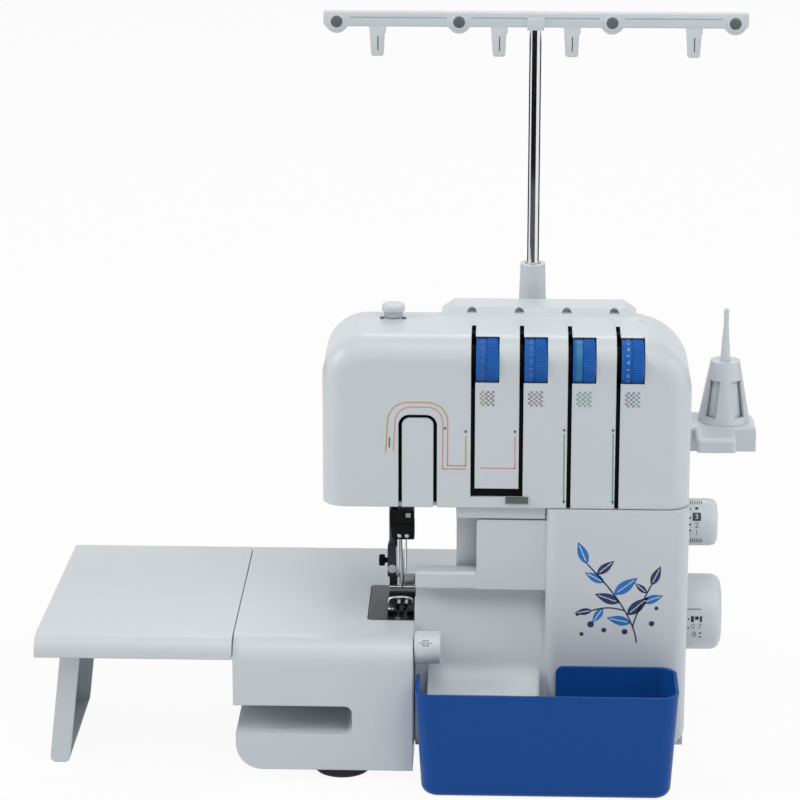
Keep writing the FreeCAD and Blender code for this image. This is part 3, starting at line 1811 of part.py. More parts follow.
def make_side():
    """Handwheel, dials, inlet and switch."""
    start = body_right + S.wheel_gap
    end = S.wheel_width
    bore = S.shaft_radius
    wheel = turned(
        "wheel_blank",
        "x",
        (start, shaft[0], shaft[1]),
        [
            (bore, as_size(0)),
            (S.wheel_radius, as_size(0)),
            (S.wheel_radius, end),
            (S.wheel_dish_radius, end),
            (S.wheel_dish_radius - S.wheel_dish / 2, end - S.wheel_dish),
            (as_size(0), end - S.wheel_dish),
            (as_size(0), S.shaft_end),
            (bore, S.shaft_end),
        ],
    )
    soften(wheel, S.wheel_round, {"x": S.wheel_radius, "z": end})
    node("handwheel", wheel)

    length = turned(
        "length_blank",
        "x",
        (body_right + S.slip, shaft[0], as_size(S.length_height)),
        [
            (as_size(0), -S.length_stub_run),
            (S.length_stub, -S.length_stub_run),
            (S.length_stub, as_size(0)),
            (S.length_radius, as_size(0)),
            (S.length_radius, S.length_width),
            (as_size(0), S.length_width),
        ],
    )
    soften(length, S.length_round, {"x": S.length_radius, "z": S.length_width})
    node("stitch_length_dial", length)

    width = turned(
        "width_blank",
        "x",
        (X0 + S.slip * 2, Y0 + S.width_back, width_height),
        [
            (as_size(0), -S.width_stub_run),
            (S.width_stub, -S.width_stub_run),
            (S.width_stub, as_size(0)),
            (S.width_radius, as_size(0)),
            (S.width_radius, S.width_length),
            (as_size(0), S.width_length),
        ],
    )
    soften(width, S.width_round, {"x": S.width_radius, "z": S.width_length})
    node("stitch_width_dial", width)

    tall = S.inlet_tall / 2
    low = S.inlet_height - tall
    high = S.inlet_height + tall
    front, back = inlet_span()
    body = block("inlet_body", (body_right - S.inlet_depth, body_right), (front, back), (low, high))
    plate = block(
        "inlet_plate",
        (body_right, body_right + S.inlet_flange),
        (front - S.inlet_rim, back + S.inlet_rim),
        (low - S.inlet_rim, high + S.inlet_rim),
    )
    socket = block(
        "inlet_socket",
        (body_right - S.inlet_depth + S.inlet_rim, body_right + S.inlet_flange + S.over),
        (front + S.inlet_rim, back - S.inlet_rim),
        (low + S.inlet_rim, high - S.inlet_rim),
    )
    blades = []
    for index, shift in enumerate((-1, 1)):
        middle = body_back - S.inlet_inset + S.inlet_pin_shift * shift
        blades.append(
            rod(
                f"inlet_pin_{index}",
                "x",
                (middle, S.inlet_height),
                S.inlet_pin,
                (body_right - S.inlet_depth + S.inlet_rim / 2, body_right - S.inlet_rim),
            )
        )
    shell = cut("inlet_cut", fuse("inlet_shell", body, plate), socket)
    rocker_x = body_right - S.switch_depth / 2
    span = switch_span(as_size(0))
    rise = switch_rise(as_size(0))
    face = prism(
        "switch_face",
        "xz",
        [
            (body_right - S.switch_depth, rise[0] + S.over),
            (body_right + S.over * 2, rise[0]),
            (body_right + S.over / 2, S.switch_height),
            (body_right + S.over * 2, rise[1]),
            (body_right - S.switch_depth, rise[1] - S.over),
        ],
        span,
    )
    hole = rod(
        "switch_bore",
        "y",
        (rocker_x, S.switch_height),
        S.switch_pin + S.running,
        (span[0] - S.over, span[1] + S.over),
    )
    node("power_switch", cut("switch_cut", face, hole))
    pin_span = (span[0] - S.slip - wall, span[1] + S.slip + wall)
    pin = rod("switch_axle", "y", (rocker_x, S.switch_height), S.switch_pin, pin_span)
    cheeks = []
    for tag, low_y in (("front", pin_span[0]), ("back", span[1] + S.slip)):
        cheeks.append(
            block(
                f"switch_cheek_{tag}",
                (body_right - S.switch_depth, body_right - wall),
                (low_y, low_y + wall),
                (high - S.inlet_rim / 2, S.switch_height + wall * 2),
            )
        )
    node("power_inlet", fuse("inlet_fuse", shell, pin, *blades, *cheeks))


def make_drive():
    """Motor, belt, pulleys, main shaft and its bushes."""
    axis = (Y0 + S.motor_back, S.motor_height)
    left = body_right - S.motor_inset
    right = left + S.motor_length
    can = rod("motor_can", "x", axis, S.motor_radius, (left, right))
    saddle = block(
        "motor_saddle_block",
        (left + S.motor_saddle, right - S.motor_saddle),
        (axis[0] - S.saddle_half, axis[0] + S.saddle_half),
        (tray_top + S.rail_thick, axis[1]),
    )
    node("motor", fuse("motor_fuse", can, saddle))
    start = body_right - S.pulley_inset
    span = (start, start + S.pulley_width)
    small = S.motor_pulley_radius
    big = S.shaft_pulley_radius
    node("motor_pulley", fuse(
        "motor_pulley_fuse",
        rod("motor_pulley_rim", "x", axis, small, span),
        rod("motor_pulley_axle", "x", axis, S.motor_shaft, (right + S.stand_off, start + S.over)),
    ))
    rim = rod("shaft_pulley_rim", "x", shaft, big, span)
    eye = rod("shaft_pulley_eye", "x", shaft, S.shaft_radius, (start - S.over, span[1] + S.over))
    node("shaft_pulley", cut("shaft_pulley_cut", rim, eye))
    node("drive_belt", belt(axis, span, small + S.stand_off, big + S.stand_off))
    node(
        "main_shaft",
        rod(
            "main_shaft_rod",
            "x",
            shaft,
            S.shaft_radius,
            (X0 + S.shaft_left, body_right + S.wheel_gap + S.shaft_end),
        ),
    )
    bushes = []
    for index, (low, high) in enumerate(bearing_spans(), start=1):
        sleeve = rod(f"bush_blank_{index}", "x", shaft, S.shaft_radius + S.bush_wall, (low, high))
        hole = rod(
            f"bush_hole_{index}",
            "x",
            shaft,
            S.shaft_radius + S.running,
            (low - S.over, high + S.over),
        )
        bushes.append(cut(f"bush_{index}", sleeve, hole))
    node("shaft_bushes", group("bushes", *bushes))


def bearing_spans():
    """Where the frame carries the main shaft."""
    return [
        (X0 + S.web_left, X0 + S.web_right),
        (body_right - S.pedestal_inset, body_right - S.pedestal_inset + S.pedestal_width),
    ]


def belt(axis, span, small, big):
    """The closed belt round both pulleys, made from its outer form less its inner form."""
    piece = doc.addObject("Part::Feature", "belt_loop")
    first = FreeCAD.Vector(0, axis[0].value, axis[1].value)
    second = FreeCAD.Vector(0, shaft[0].value, shaft[1].value)

    def loop(near, far):
        forms = []
        for centre, radius in ((first, near), (second, far)):
            circle = Part.makeCylinder(
                radius,
                SIZES["pulley_width"],
                FreeCAD.Vector(span[0].value, centre.y, centre.z),
                FreeCAD.Vector(1, 0, 0),
            )
            forms.append(circle)
        line = second - first
        reach = line.Length
        line.normalize()
        side = FreeCAD.Vector(0, -line.z, line.y)
        sine = (far - near) / reach
        cosine = (1 - sine * sine) ** 0.5
        corners = []
        for sign in (1, -1):
            normal = side * (sign * cosine) - line * sine
            pair = [first + normal * near, second + normal * far]
            corners += pair if sign == 1 else pair[::-1]
        for corner in corners:
            corner.x = span[0].value
        face = Part.Face(Part.makePolygon(corners + corners[:1]))
        forms.append(face.extrude(FreeCAD.Vector(SIZES["pulley_width"], 0, 0)))
        return forms[0].fuse(forms[1:]).removeSplitter()

    thick = SIZES["belt_thick"]
    piece.Shape = loop(small.value + thick, big.value + thick).cut(loop(small.value, big.value))
    return piece


def make_frame():
    """The cast frame that carries the shafts, the bars and the needle plate."""
    floor = tray_top
    rail_top = floor + S.rail_thick
    pieces = [
        block(
            "frame_rail",
            (X0 + S.rail_left, body_right - S.rail_end),
            (Y0 + S.rail_front, body_back - S.rail_inset),
            (floor, rail_top),
        ),
        block(
            "frame_wall",
            (X0 + S.wall_left, X0 + S.wall_right),
            (body_back - S.wall_inset - S.wall_thick, body_back - S.wall_inset),
            (floor, wall_top),
        ),
        block(
            "frame_beam",
            (X0 - S.beam_left, body_right - S.beam_end),
            (Y0 + S.beam_front, Y0 + S.beam_back),
            (beam_bottom, beam_bottom + S.beam_height),
        ),
        block(
            "frame_gusset",
            (X0 + S.wall_left, X0 + S.wall_right),
            (Y0 + S.beam_front, body_back - S.wall_inset),
            (beam_bottom, beam_bottom + S.beam_height),
        ),
        block(
            "frame_web",
            (X0 + S.web_left, X0 + S.web_right),
            (Y0 + S.web_front, Y0 + S.bridge_back),
            (floor, S.bed_height - S.plate_thick),
        ),
        block(
            "frame_pedestal",
            (body_right - S.pedestal_inset, body_right - S.pedestal_inset + S.pedestal_width),
            (shaft[0] - S.pedestal_half, shaft[0] + S.pedestal_half),
            (floor, shaft[1] + S.pedestal_half),
        ),
        block(
            "frame_bridge",
            (plate_left, X0 + S.web_right),
            (Y0 + S.bridge_front, Y0 + S.bridge_back),
            (S.bed_height - S.plate_thick - S.bed_beam, S.bed_height - S.plate_thick),
        ),
        block(
            "frame_bed_beam",
            (plate_left + S.slip * 2, X0 - S.seam / 2),
            (Y0 + S.plate_front + S.slip * 2, Y0 + S.bridge_back),
            (S.bed_height - S.plate_thick - S.bed_beam, S.bed_height - S.plate_thick),
        ),
    ]
    for tag, height in (("low", beam_bottom), ("high", beam_bottom + S.beam_height - S.arm_thick)):
        pieces.append(
            block(
                f"frame_arm_{tag}",
                (X0 - S.arm_left + S.over, X0 + S.arm_right - S.over),
                (Y0 + S.arm_front, Y0 + S.beam_back),
                (height, height + S.arm_thick),
            )
        )
    for tag, start in (("left", S.ear_left), ("right", ear_right)):
        pieces.append(
            block(
                f"frame_ear_{tag}",
                (X0 + start, X0 + start + S.ear_width),
                (rocker[0] - S.ear_half, rocker[0] + S.ear_half),
                (beam_bottom, rocker[1] + S.ear_half),
            )
        )
    pivot = (Y0 + S.lifter_back, lifter_height)
    lug_left = X0 - S.lifter_left + S.lifter_thick + S.slip
    pieces.append(
        block(
            "frame_lifter_lug",
            (lug_left, lug_left + S.lifter_lug),
            (pivot[0] - S.lifter_boss, Y0 + S.beam_back),
            (pivot[1] - S.lifter_boss, beam_bottom + S.over),
        )
    )
    pieces.append(
        rod(
            "frame_lifter_pin",
            "x",
            pivot,
            S.lifter_pin,
            (X0 - S.lifter_left, lug_left + S.over),
        )
    )
    pieces.append(
        rod(
            "frame_knife_pin",
            "x",
            (Y0 + S.knife_pivot_back, S.knife_pivot_height),
            S.knife_pivot,
            (X0 + S.seam, X0 + S.web_left + S.over),
        )
    )
    for tag, spot, start in (
        ("lower", (X0 + S.lower_across, S.lower_height), S.lower_front),
        ("upper", (X0 + S.upper_across, S.upper_height), S.upper_front),
    ):
        pieces.append(
            rod(
                f"frame_{tag}_pin",
                "y",
                spot,
                S.looper_pin,
                (Y0 + start - S.seam, Y0 + S.web_front + S.over),
            )
        )
    tools = []
    for index, (low, high) in enumerate(bearing_spans(), start=1):
        tools.append(
            rod(
                f"frame_bore_{index}",
                "x",
                shaft,
                S.shaft_radius + S.bush_wall,
                (low - S.over, high + S.over),
            )
        )
    for tag, spot in (("needle", needle), ("presser", presser)):
        tools.append(
            rod(
                f"frame_{tag}_bore",
                "z",
                spot,
                S.bar_radius + S.running,
                (beam_bottom - S.over, beam_bottom + S.beam_height + S.over),
            )
        )
    tools.append(
        rod(
            "frame_rocker_bore",
            "x",
            rocker,
            S.rocker_radius + S.running,
            (X0 + S.ear_left - S.over, X0 + ear_right + S.ear_width + S.over),
        )
    )
    rows = feed_rows()
    tools.append(
        block(
            "frame_feed_pocket",
            (rows[0] - S.feed_slot * 2, rows[-1] + S.feed_slot * 2),
            (Y0 + S.feed_first - S.feed_travel * 2, Y0 + S.feed_second + S.feed_length + S.feed_travel * 2),
            (S.bed_height - S.plate_thick - S.feed_pocket, S.bed_height),
        )
    )
    tools.append(
        block(
            "frame_needle_well",
            (needle[0] - S.needle_pitch, needle[0] + S.needle_pitch),
            (needle[1] - S.needle_radius * 3, needle[1] + S.needle_radius * 3),
            (S.bed_height - S.plate_thick - S.bed_beam - S.over, S.bed_height),
        )
    )
    node("main_frame", cut("frame_cut", fuse("frame_fuse", *pieces), *tools))


def make_needle():
    """Rocker, needle bar, clamp and needles."""
    spine = rod(
        "rocker_spine",
        "x",
        rocker,
        S.rocker_radius,
        (X0 - S.rocker_left, body_right - S.rocker_inset),
    )
    span = (X0 - S.rocker_left, X0 - S.rocker_left + S.lever_thick)
    boss = rod("rocker_hub", "x", rocker, S.rocker_boss, span)
    lever = block(
        "rocker_lever",
        span,
        (needle[1] + S.bar_radius + S.over, rocker[0]),
        (rocker[1] - S.lever_height / 2, rocker[1] + S.lever_height / 2),
    )
    node("needle_rocker", fuse("rocker_fuse", spine, boss, lever))
    node("needle_bar", rod("needle_bar_rod", "z", needle, S.bar_radius, (needle_bar_low, needle_bar_top)))
    top = clamp_low + S.clamp_height
    left = needle[0] - S.clamp_width / 2
    front = needle[1] - S.clamp_depth / 2 - S.over
    back = needle[1] + S.clamp_depth / 2 - S.over
    solid = prism(
        "clamp_block",
        "xz",
        [(left, clamp_low), (left + S.clamp_width, clamp_low), (left + S.clamp_width, top), (left, top)],
        (front, back),
    )
    soften(
        solid,
        S.clamp_edge,
        {"x": left, "z": clamp_low},
        {"x": left + S.clamp_width, "z": clamp_low},
        {"x": left, "z": top},
        {"x": left + S.clamp_width, "z": top},
    )
    spots = [(needle[0] + S.needle_pitch / 2 * side, needle[1]) for side in (-1, 1)]
    tools = [rod("clamp_bore", "z", needle, S.bar_radius, (needle_bar_low, top + S.over))]
    needles = []
    for index, spot in enumerate(spots, start=1):
        grip = clamp_low + S.needle_grip
        tools.append(rod(f"clamp_eye_{index}", "z", spot, S.needle_radius, (clamp_low - S.over, grip)))
        shank = rod(
            f"needle_shank_{index}",
            "z",
            spot,
            S.needle_radius,
            (needle_tip + S.needle_point, grip),
        )
        point = taper(
            f"needle_point_{index}",
            "z",
            spot,
            (S.needle_radius / 4, S.needle_radius),
            (needle_tip, needle_tip + S.needle_point),
        )
        needles.append(fuse(f"needle_{index}", shank, point))
    node("needle_clamp", cut("clamp_cut", solid, *tools))
    node("needles", group("needle_pair", *needles))


def make_presser():
    """Presser bar, foot, pressure knob and lifter."""
    node("presser_bar", rod("presser_bar_rod", "z", presser, S.bar_radius, (presser_low, presser_top)))
    half = S.shank_width / 2
    base = S.bed_height + S.foot_gap
    shank = block(
        "shank_block",
        (presser[0] - half, presser[0] + half),
        (presser[1] - half, presser[1] + half + S.over),
        (shank_low, shank_top),
    )
    bore = rod("shank_bore", "z", presser, S.bar_radius, (presser_low, shank_top + S.over))
    node("foot_shank", cut("shank_cut", shank, bore))
    left = X0 - S.foot_left_edge
    sole = prism(
        "foot_sole",
        "yz",
        [
            (Y0 + S.foot_toe, base + S.foot_thick),
            (Y0 + S.foot_toe + S.foot_thick * 2, base),
            (Y0 + S.foot_heel, base),
            (Y0 + S.foot_heel, base + S.foot_thick),
            (Y0 + S.foot_toe + S.foot_thick * 2, base + S.foot_thick),
            (Y0 + S.foot_toe, base + S.foot_thick * 2),
        ],
        (left, left + S.foot_width),
    )
    bridge = block(
        "foot_bridge_block",
        (presser[0] - half / 2, presser[0] + half / 2),
        (presser[1] - half, presser[1] + half),
        (base + S.foot_thick / 2, shank_low),
    )
    slot = block(
        "foot_slot",
        (needle[0] - S.needle_pitch, needle[0] + S.needle_pitch),
        (needle[1] - S.needle_radius * 3, needle[1] + S.needle_radius * 3),
        (base - S.over, base + S.foot_thick * 3),
    )
    node("presser_foot", cut("foot_cut", fuse("foot_fuse", sole, bridge), slot))
    screw_left = presser[0] - half - S.thumb_length
    middle = presser_low + S.thumb_radius / 2
    node(
        "foot_screw",
        rod("thumb_rod", "x", (presser[1], middle), S.thumb_radius, (screw_left, presser[0] - half)),
    )
    knob = turned(
        "knob_blank",
        "z",
        (presser[0], presser[1], head_top + S.knob_lift),
        [
            (as_size(0), -S.knob_stem_run),
            (S.knob_stem, -S.knob_stem_run),
            (S.knob_stem, as_size(0)),
            (S.knob_radius, as_size(0)),
            (S.knob_radius, S.knob_height),
            (as_size(0), S.knob_height),
        ],
    )
    soften(knob, S.knob_round, {"x": S.knob_radius, "z": S.knob_height})
    node("pressure_knob", knob)
    pivot = (Y0 + S.lifter_back, lifter_height)
    span = (X0 - S.lifter_left, X0 - S.lifter_left + S.lifter_thick)
    hub = rod("lifter_hub", "x", pivot, S.lifter_boss, span)
    handle = block(
        "lifter_handle",
        span,
        (pivot[0] - S.lifter_boss, pivot[0] + S.lifter_boss),
        (pivot[1] - S.lifter_drop, pivot[1]),
    )
    eye = rod("lifter_eye", "x", pivot, S.lifter_pin + S.running, (span[0] - S.over, span[1] + S.over))
    node("presser_lifter", cut("lifter_cut", fuse("lifter_fuse", hub, handle), eye))


def make_loopers():
    """Upper knife, both loopers and both feed dogs."""
    pivot = (Y0 + S.knife_pivot_back, S.knife_pivot_height)
    low = X0 - S.seam / 2 + S.knife_thick + S.stand_off
    span = (low, low + S.knife_arm)
    front = Y0 + S.knife_front
    hub = rod("knife_hub", "x", pivot, S.knife_boss, span)
    arm = block(
        "knife_arm_bar",
        span,
        (front, pivot[0]),
        (pivot[1] - S.knife_bar / 2, pivot[1] + S.knife_bar / 2),
    )
    blade = block(
        "knife_blade",
        span,
        (front, front + S.knife_length),
        (pivot[1] - S.knife_bar / 2, blade_top),
    )
    eye = rod("knife_eye", "x", pivot, S.knife_pivot + S.running, (span[0] - S.over, span[1] + S.over))
    node("upper_knife", cut("knife_cut", fuse("knife_fuse", hub, arm, blade), eye))
    for tag, spot, start, top, tip in (
        ("lower", (X0 + S.lower_across, S.lower_height), S.lower_front, lower_top, S.lower_tip),
        ("upper", (X0 + S.upper_across, S.upper_height), S.upper_front, upper_top, S.upper_tip),
    ):
        deep = (Y0 + start, Y0 + start + S.looper_thick)
        boss = rod(f"{tag}_hub", "y", spot, S.looper_boss, deep)
        stem = block(
            f"{tag}_stem",
            (spot[0] - S.looper_arm / 2, spot[0] + S.looper_arm / 2),
            deep,
            (spot[1], top),
        )
        blade = block(
            f"{tag}_blade",
            (X0 + tip, spot[0] + S.looper_arm / 2),
            deep,
            (top - S.looper_blade, top),
        )
        eye = rod(f"{tag}_eye", "y", spot, S.looper_pin + S.running, (deep[0] - S.over, deep[1] + S.over))
        node(f"{tag}_looper", cut(f"{tag}_cut", fuse(f"{tag}_fuse", boss, stem, blade), eye))
    rows = feed_rows()
    base = S.bed_height - S.plate_thick - S.feed_pocket + S.stand_off
    for name, start in (("differential_feed_dog", S.feed_first), ("main_feed_dog", S.feed_second)):
        deep = (Y0 + start, Y0 + start + S.feed_length)
        pieces = [
            block(
                f"{name}_base",
                (rows[0] - S.feed_bar, rows[-1] + S.feed_bar),
                deep,
                (base, base + S.feed_base),
            )
        ]
        for index, across in enumerate(rows):
            pieces.append(
                block(
                    f"{name}_row_{index}",
                    (across - S.feed_bar / 2, across + S.feed_bar / 2),
                    deep,
                    (base, base + S.feed_rise),
                )
            )
        node(name, fuse(f"{name}_fuse", *pieces))


make_bed()
make_plate()
make_head_front()
make_rear()
make_tension()
make_guides()
make_pole()
make_stand()
make_cover()
make_bin()
make_table()
make_side()
make_drive()
make_frame()
make_needle()
make_presser()
make_loopers()
doc.recompute()

for item in doc.Objects:
    if "Invalid" in item.State or "Error" in item.State:
        raise RuntimeError(f"{item.Name} did not recompute: {item.State}")
os.makedirs("parts", exist_ok=True)
for item in NODES:
    shape = item.Shape
    if shape.isNull() or not shape.isValid() or not shape.Solids:
        raise RuntimeError(f"{item.Label} has no valid solid")
    print(f"{item.Label}: {len(shape.Solids)} solid(s), {shape.Volume / 1000:.1f} cm3")
    shape.exportStep(f"parts/{item.Label}.step")
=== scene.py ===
"""Looks of a home four-thread overlock machine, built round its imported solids.

All sizes are millimetres from the machine's own corner: the free arm's right side at the bed's front,
on the floor, with X to the machine's right, Y to its back and Z up. A surface moves to the row frame
and turns to metres when its mesh is made.
"""

import logging
import math
from dataclasses import dataclass, replace
from enum import Enum

import bmesh
import bpy
import numpy as np
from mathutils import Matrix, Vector


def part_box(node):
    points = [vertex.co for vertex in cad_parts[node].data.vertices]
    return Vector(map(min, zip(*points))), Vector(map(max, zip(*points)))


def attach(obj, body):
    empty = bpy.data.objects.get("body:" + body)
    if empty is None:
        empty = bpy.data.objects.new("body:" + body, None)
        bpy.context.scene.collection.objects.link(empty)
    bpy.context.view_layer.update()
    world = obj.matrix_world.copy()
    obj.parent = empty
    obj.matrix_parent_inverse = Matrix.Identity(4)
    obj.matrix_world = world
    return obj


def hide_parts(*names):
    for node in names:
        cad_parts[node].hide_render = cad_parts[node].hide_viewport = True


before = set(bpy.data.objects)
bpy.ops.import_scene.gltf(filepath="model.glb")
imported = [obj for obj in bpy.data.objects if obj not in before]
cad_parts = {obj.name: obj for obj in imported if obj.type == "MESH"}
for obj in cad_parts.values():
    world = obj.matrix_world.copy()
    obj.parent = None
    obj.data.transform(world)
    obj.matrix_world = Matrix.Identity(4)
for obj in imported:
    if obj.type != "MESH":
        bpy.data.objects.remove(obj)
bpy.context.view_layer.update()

log = logging.getLogger("overlock")
MM = 0.001
ARM_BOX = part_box("free_arm_casing")
CORNER = np.array([ARM_BOX[1].x, ARM_BOX[0].y, 0.0]) / MM
Pair = tuple[float, float]
Triple = tuple[float, float, float]
Profile = tuple[Pair, ...]


class Grain(Enum):
    """How a finish's fine pattern lies: its stretch along the three axes."""

    EVEN = (1.0, 1.0, 1.0)
    ALONG_Y = (1.0, 0.03, 1.0)
    ALONG_Z = (1.0, 1.0, 0.03)


class Plane(Enum):
    """Where across, up and out go: the places of x, y and z among them."""

    FRONT = (0, 2, 1)
    TOP = (0, 1, 2)
    SIDE = (2, 0, 1)


class Slot(Enum):
    """The record's material slots."""

    CASING = "casing"
    BIN_BLUE = "bin_blue"
    DIAL_BLUE = "dial_blue"
    BLACK = "black"
    GREY = "grey"
    RUBBER = "rubber"
    STEEL = "steel"
    BRIGHT = "bright"
    CASTING = "casting"
    BELT = "belt"
    BRONZE = "bronze"


def set_inputs(node: bpy.types.Node, **values: float | tuple[float, ...]) -> bpy.types.Node:
    """Set a node's inputs.

    Args:
        node: the node.
        values: the inputs' values, with an underscore for each space in a name.

    Returns:
        The node.
    """
    for name, value in values.items():
        node.inputs[name.replace("_", " ")].default_value = value
    return node


def add_node(tree: bpy.types.NodeTree, kind: str, **values: float | tuple[float, ...]) -> bpy.types.Node:
    """Add a shader node of a kind to a tree and set its inputs."""
    return set_inputs(tree.nodes.new(f"ShaderNode{kind}"), **values)


def wire(source: bpy.types.Node, out: str | int, target: bpy.types.Node, into: str | int) -> None:
    """Link an output of one node to an input of another in its tree."""
    source.id_data.links.new(source.outputs[out], target.inputs[into])


@dataclass(frozen=True)
class Finish:
    """A moulded, printed or metal surface with its fine grain and slow change of tone."""

    name: str
    slot: Slot
    colour: Triple
    roughness: float = 0.4
    metallic: float = 0.0
    vary: float = 0.04
    rough_vary: float = 0.06
    scale: float = 900.0
    bump: float = 0.02
    specular: float = 0.5
    grain: Grain = Grain.EVEN
    cloud: float = 14.0
    edge: float = 0.0

    def material(self) -> bpy.types.Material:
        """Give the node material of this finish, made once."""
        return bpy.data.materials.get(self.name) or self.make()

    def make(self) -> bpy.types.Material:
        """Build the nodes: fine noise drives bump and gloss, and slow noise adds to it for the colour.

        Returns:
            The new material.
        """
        material = bpy.data.materials.new(self.name)
        material.use_nodes = True
        tree = material.node_tree
        shader = set_inputs(tree.nodes["Principled BSDF"], Metallic=self.metallic, Specular_IOR_Level=self.specular)
        place = add_node(tree, "TexCoord")
        stretch = add_node(tree, "Mapping", Scale=self.grain.value)
        wire(place, "Object", stretch, "Vector")
        fine = add_node(tree, "TexNoise", Scale=self.scale, Detail=3.0)
        wire(stretch, "Vector", fine, "Vector")
        slow = add_node(tree, "TexNoise", Scale=self.cloud, Detail=2.0)
        wire(place, "Object", slow, "Vector")
        tone = add_node(tree, "Mix", Factor=0.4)
        wire(slow, "Fac", tone, "A")
        wire(fine, "Fac", tone, "B")
        ramp = add_node(tree, "ValToRGB")
        low, high = ramp.color_ramp.elements
        low.position, high.position = 0.32, 0.68
        low.color = (*(part * (1 - self.vary) for part in self.colour), 1)
        high.color = (*(min(1.0, part * (1 + self.vary)) for part in self.colour), 1)
        wire(tone, "Result", ramp, "Fac")
        wire(ramp, "Color", shader, "Base Color")
        smooth, dull = max(0.02, self.roughness - self.rough_vary), self.roughness + self.rough_vary
        gloss = add_node(tree, "MapRange", From_Min=0.3, From_Max=0.7, To_Min=smooth, To_Max=dull)
        wire(fine, "Fac", gloss, "Value")
        wire(gloss, "Result", shader, "Roughness")
        relief = add_node(tree, "Bump", Strength=self.bump, Distance=0.0003)
        wire(fine, "Fac", relief, "Height")
        if self.edge:
            worn = add_node(tree, "Bevel", Radius=self.edge * MM)
            worn.samples = 4
            wire(worn, "Normal", relief, "Normal")
        wire(relief, "Normal", shader, "Normal")
        return material


def ink(name: str, colour: Triple) -> Finish:
    """Give a printed finish: a thin satin ink with a slight mottle."""
    return Finish(f"ink_{name}", Slot.BLACK, colour, 0.42, vary=0.08, scale=2500, bump=0.01)


CASING = Finish(
    "casing_plastic", Slot.CASING, (0.64, 0.68, 0.705), 0.34, vary=0.012, scale=1500, specular=0.4, edge=1.0
)
BLEND = replace(CASING, name="blend_plastic", edge=0.0)
# Darker casing tone for the guide bar's groove lines: painted groove shadow
GROOVE_SHADOW = Finish("seam_shadow", Slot.CASING, (0.40, 0.43, 0.45), 0.5, vary=0.03)
BIN_BLUE = Finish(
    "bin_blue_plastic", Slot.BIN_BLUE, (0.007, 0.074, 0.31), 0.3,
    vary=0.03, scale=2600, bump=0.01, specular=0.14, edge=0.8,
)
DIAL_BLUE = Finish(
    "dial_blue_plastic", Slot.DIAL_BLUE, (0.013, 0.115, 0.43), 0.36, scale=2600, specular=0.16
)
BLACK = Finish("black_plastic", Slot.BLACK, (0.006, 0.006, 0.0065), 0.36, vary=0.12, bump=0.04, specular=0.12)
# Near-black painted shade: stands in for the shade inside slots, vents, recesses and the tension parts seen down the
# slots; the glossy-only studio cards use it too
SHADE = Finish("shade_black", Slot.BLACK, (0.004, 0.004, 0.005), 0.7, vary=0.2, specular=0.15)
GREY = Finish("grey_plastic", Slot.GREY, (0.105, 0.118, 0.122), 0.45, vary=0.06, bump=0.04)
RUBBER = Finish("foot_rubber", Slot.RUBBER, (0.010, 0.010, 0.011), 0.75, vary=0.15, bump=0.15, scale=1800)
STEEL = Finish(
    "brushed_steel", Slot.STEEL, (0.50, 0.51, 0.53), 0.30, 1.0, vary=0.07, grain=Grain.ALONG_Z, bump=0.05
)
DARK_STEEL = Finish(
    "dark_plate_steel", Slot.STEEL, (0.040, 0.046, 0.054), 0.38, 0.7, vary=0.12, grain=Grain.ALONG_Y, bump=0.06
)
BRIGHT = Finish("bright_plated", Slot.BRIGHT, (0.78, 0.78, 0.80), 0.07, 1.0, vary=0.02, rough_vary=0.02, bump=0.0)
CASTING = Finish("cast_alloy", Slot.CASTING, (0.50, 0.51, 0.53), 0.5, 1.0, vary=0.08, bump=0.25, scale=700)
BELT = Finish("belt_rubber", Slot.BELT, (0.015, 0.015, 0.016), 0.7, vary=0.2, bump=0.1)
BRONZE = Finish("sintered_bronze", Slot.BRONZE, (0.42, 0.26, 0.09), 0.4, 1.0, vary=0.1, bump=0.12)
GOLD_INK = ink("gold", (0.55, 0.33, 0.10))
PINK_INK = ink("pink", (0.62, 0.30, 0.32))
GREEN_INK = ink("green", (0.03, 0.36, 0.21))
TEAL_INK = ink("teal", (0.10, 0.30, 0.40))
RED_INK = ink("red", (0.27, 0.055, 0.075))
ROSE_INK = ink("rose", (0.30, 0.13, 0.36))
LAGOON_INK = ink("lagoon", (0.010, 0.17, 0.33))
PALE_INK = ink("pale_blue", (0.42, 0.50, 0.66))
OLIVE_INK = ink("olive", (0.33, 0.30, 0.17))
MAUVE_INK = ink("mauve", (0.17, 0.16, 0.21))
DUSK_INK = ink("dusk", (0.27, 0.19, 0.23))
SAGE_INK = ink("sage", (0.12, 0.37, 0.27))
LEAF_INK = ink("leaf_blue", (0.010, 0.17, 0.52))
DEEP_INK = ink("deep_blue", (0.012, 0.030, 0.115))
WHITE_INK = ink("white", (0.74, 0.76, 0.78))
GREY_INK = ink("grey", (0.15, 0.16, 0.17))
BLACK_INK = ink("black", (0.018, 0.019, 0.022))


@dataclass
class Surface:
    """Points in millimetres and the faces between them, in blocks of equal index rows."""

    points: np.ndarray
    faces: list[np.ndarray]

    def __add__(self, other: "Surface") -> "Surface":
        """Join two surfaces into one list of points and faces."""
        shift = len(self.points)
        return Surface(np.vstack([self.points, other.points]), self.faces + [rows + shift for rows in other.faces])


def joined(surfaces: list[Surface]) -> Surface:
    """Join several surfaces into one."""
    return sum(surfaces[1:], surfaces[0])


def lay(across: np.ndarray, up: np.ndarray, out: np.ndarray, plane: Plane) -> np.ndarray:
    """Put flat coordinates, across and up, and a height out of their plane into space, as x, y and z."""
    return np.stack(np.broadcast_arrays(across, up, out), axis=-1)[..., plane.value]


def unit(steps: np.ndarray) -> np.ndarray:
    """Scale steps to a length of 1."""
    return steps / np.linalg.norm(steps, axis=-1, keepdims=True)


def round_turn(steps: int) -> np.ndarray:
    """Give the angles of points round a full turn, as one row."""
    return np.linspace(0, 2 * math.pi, steps, endpoint=False)[None]


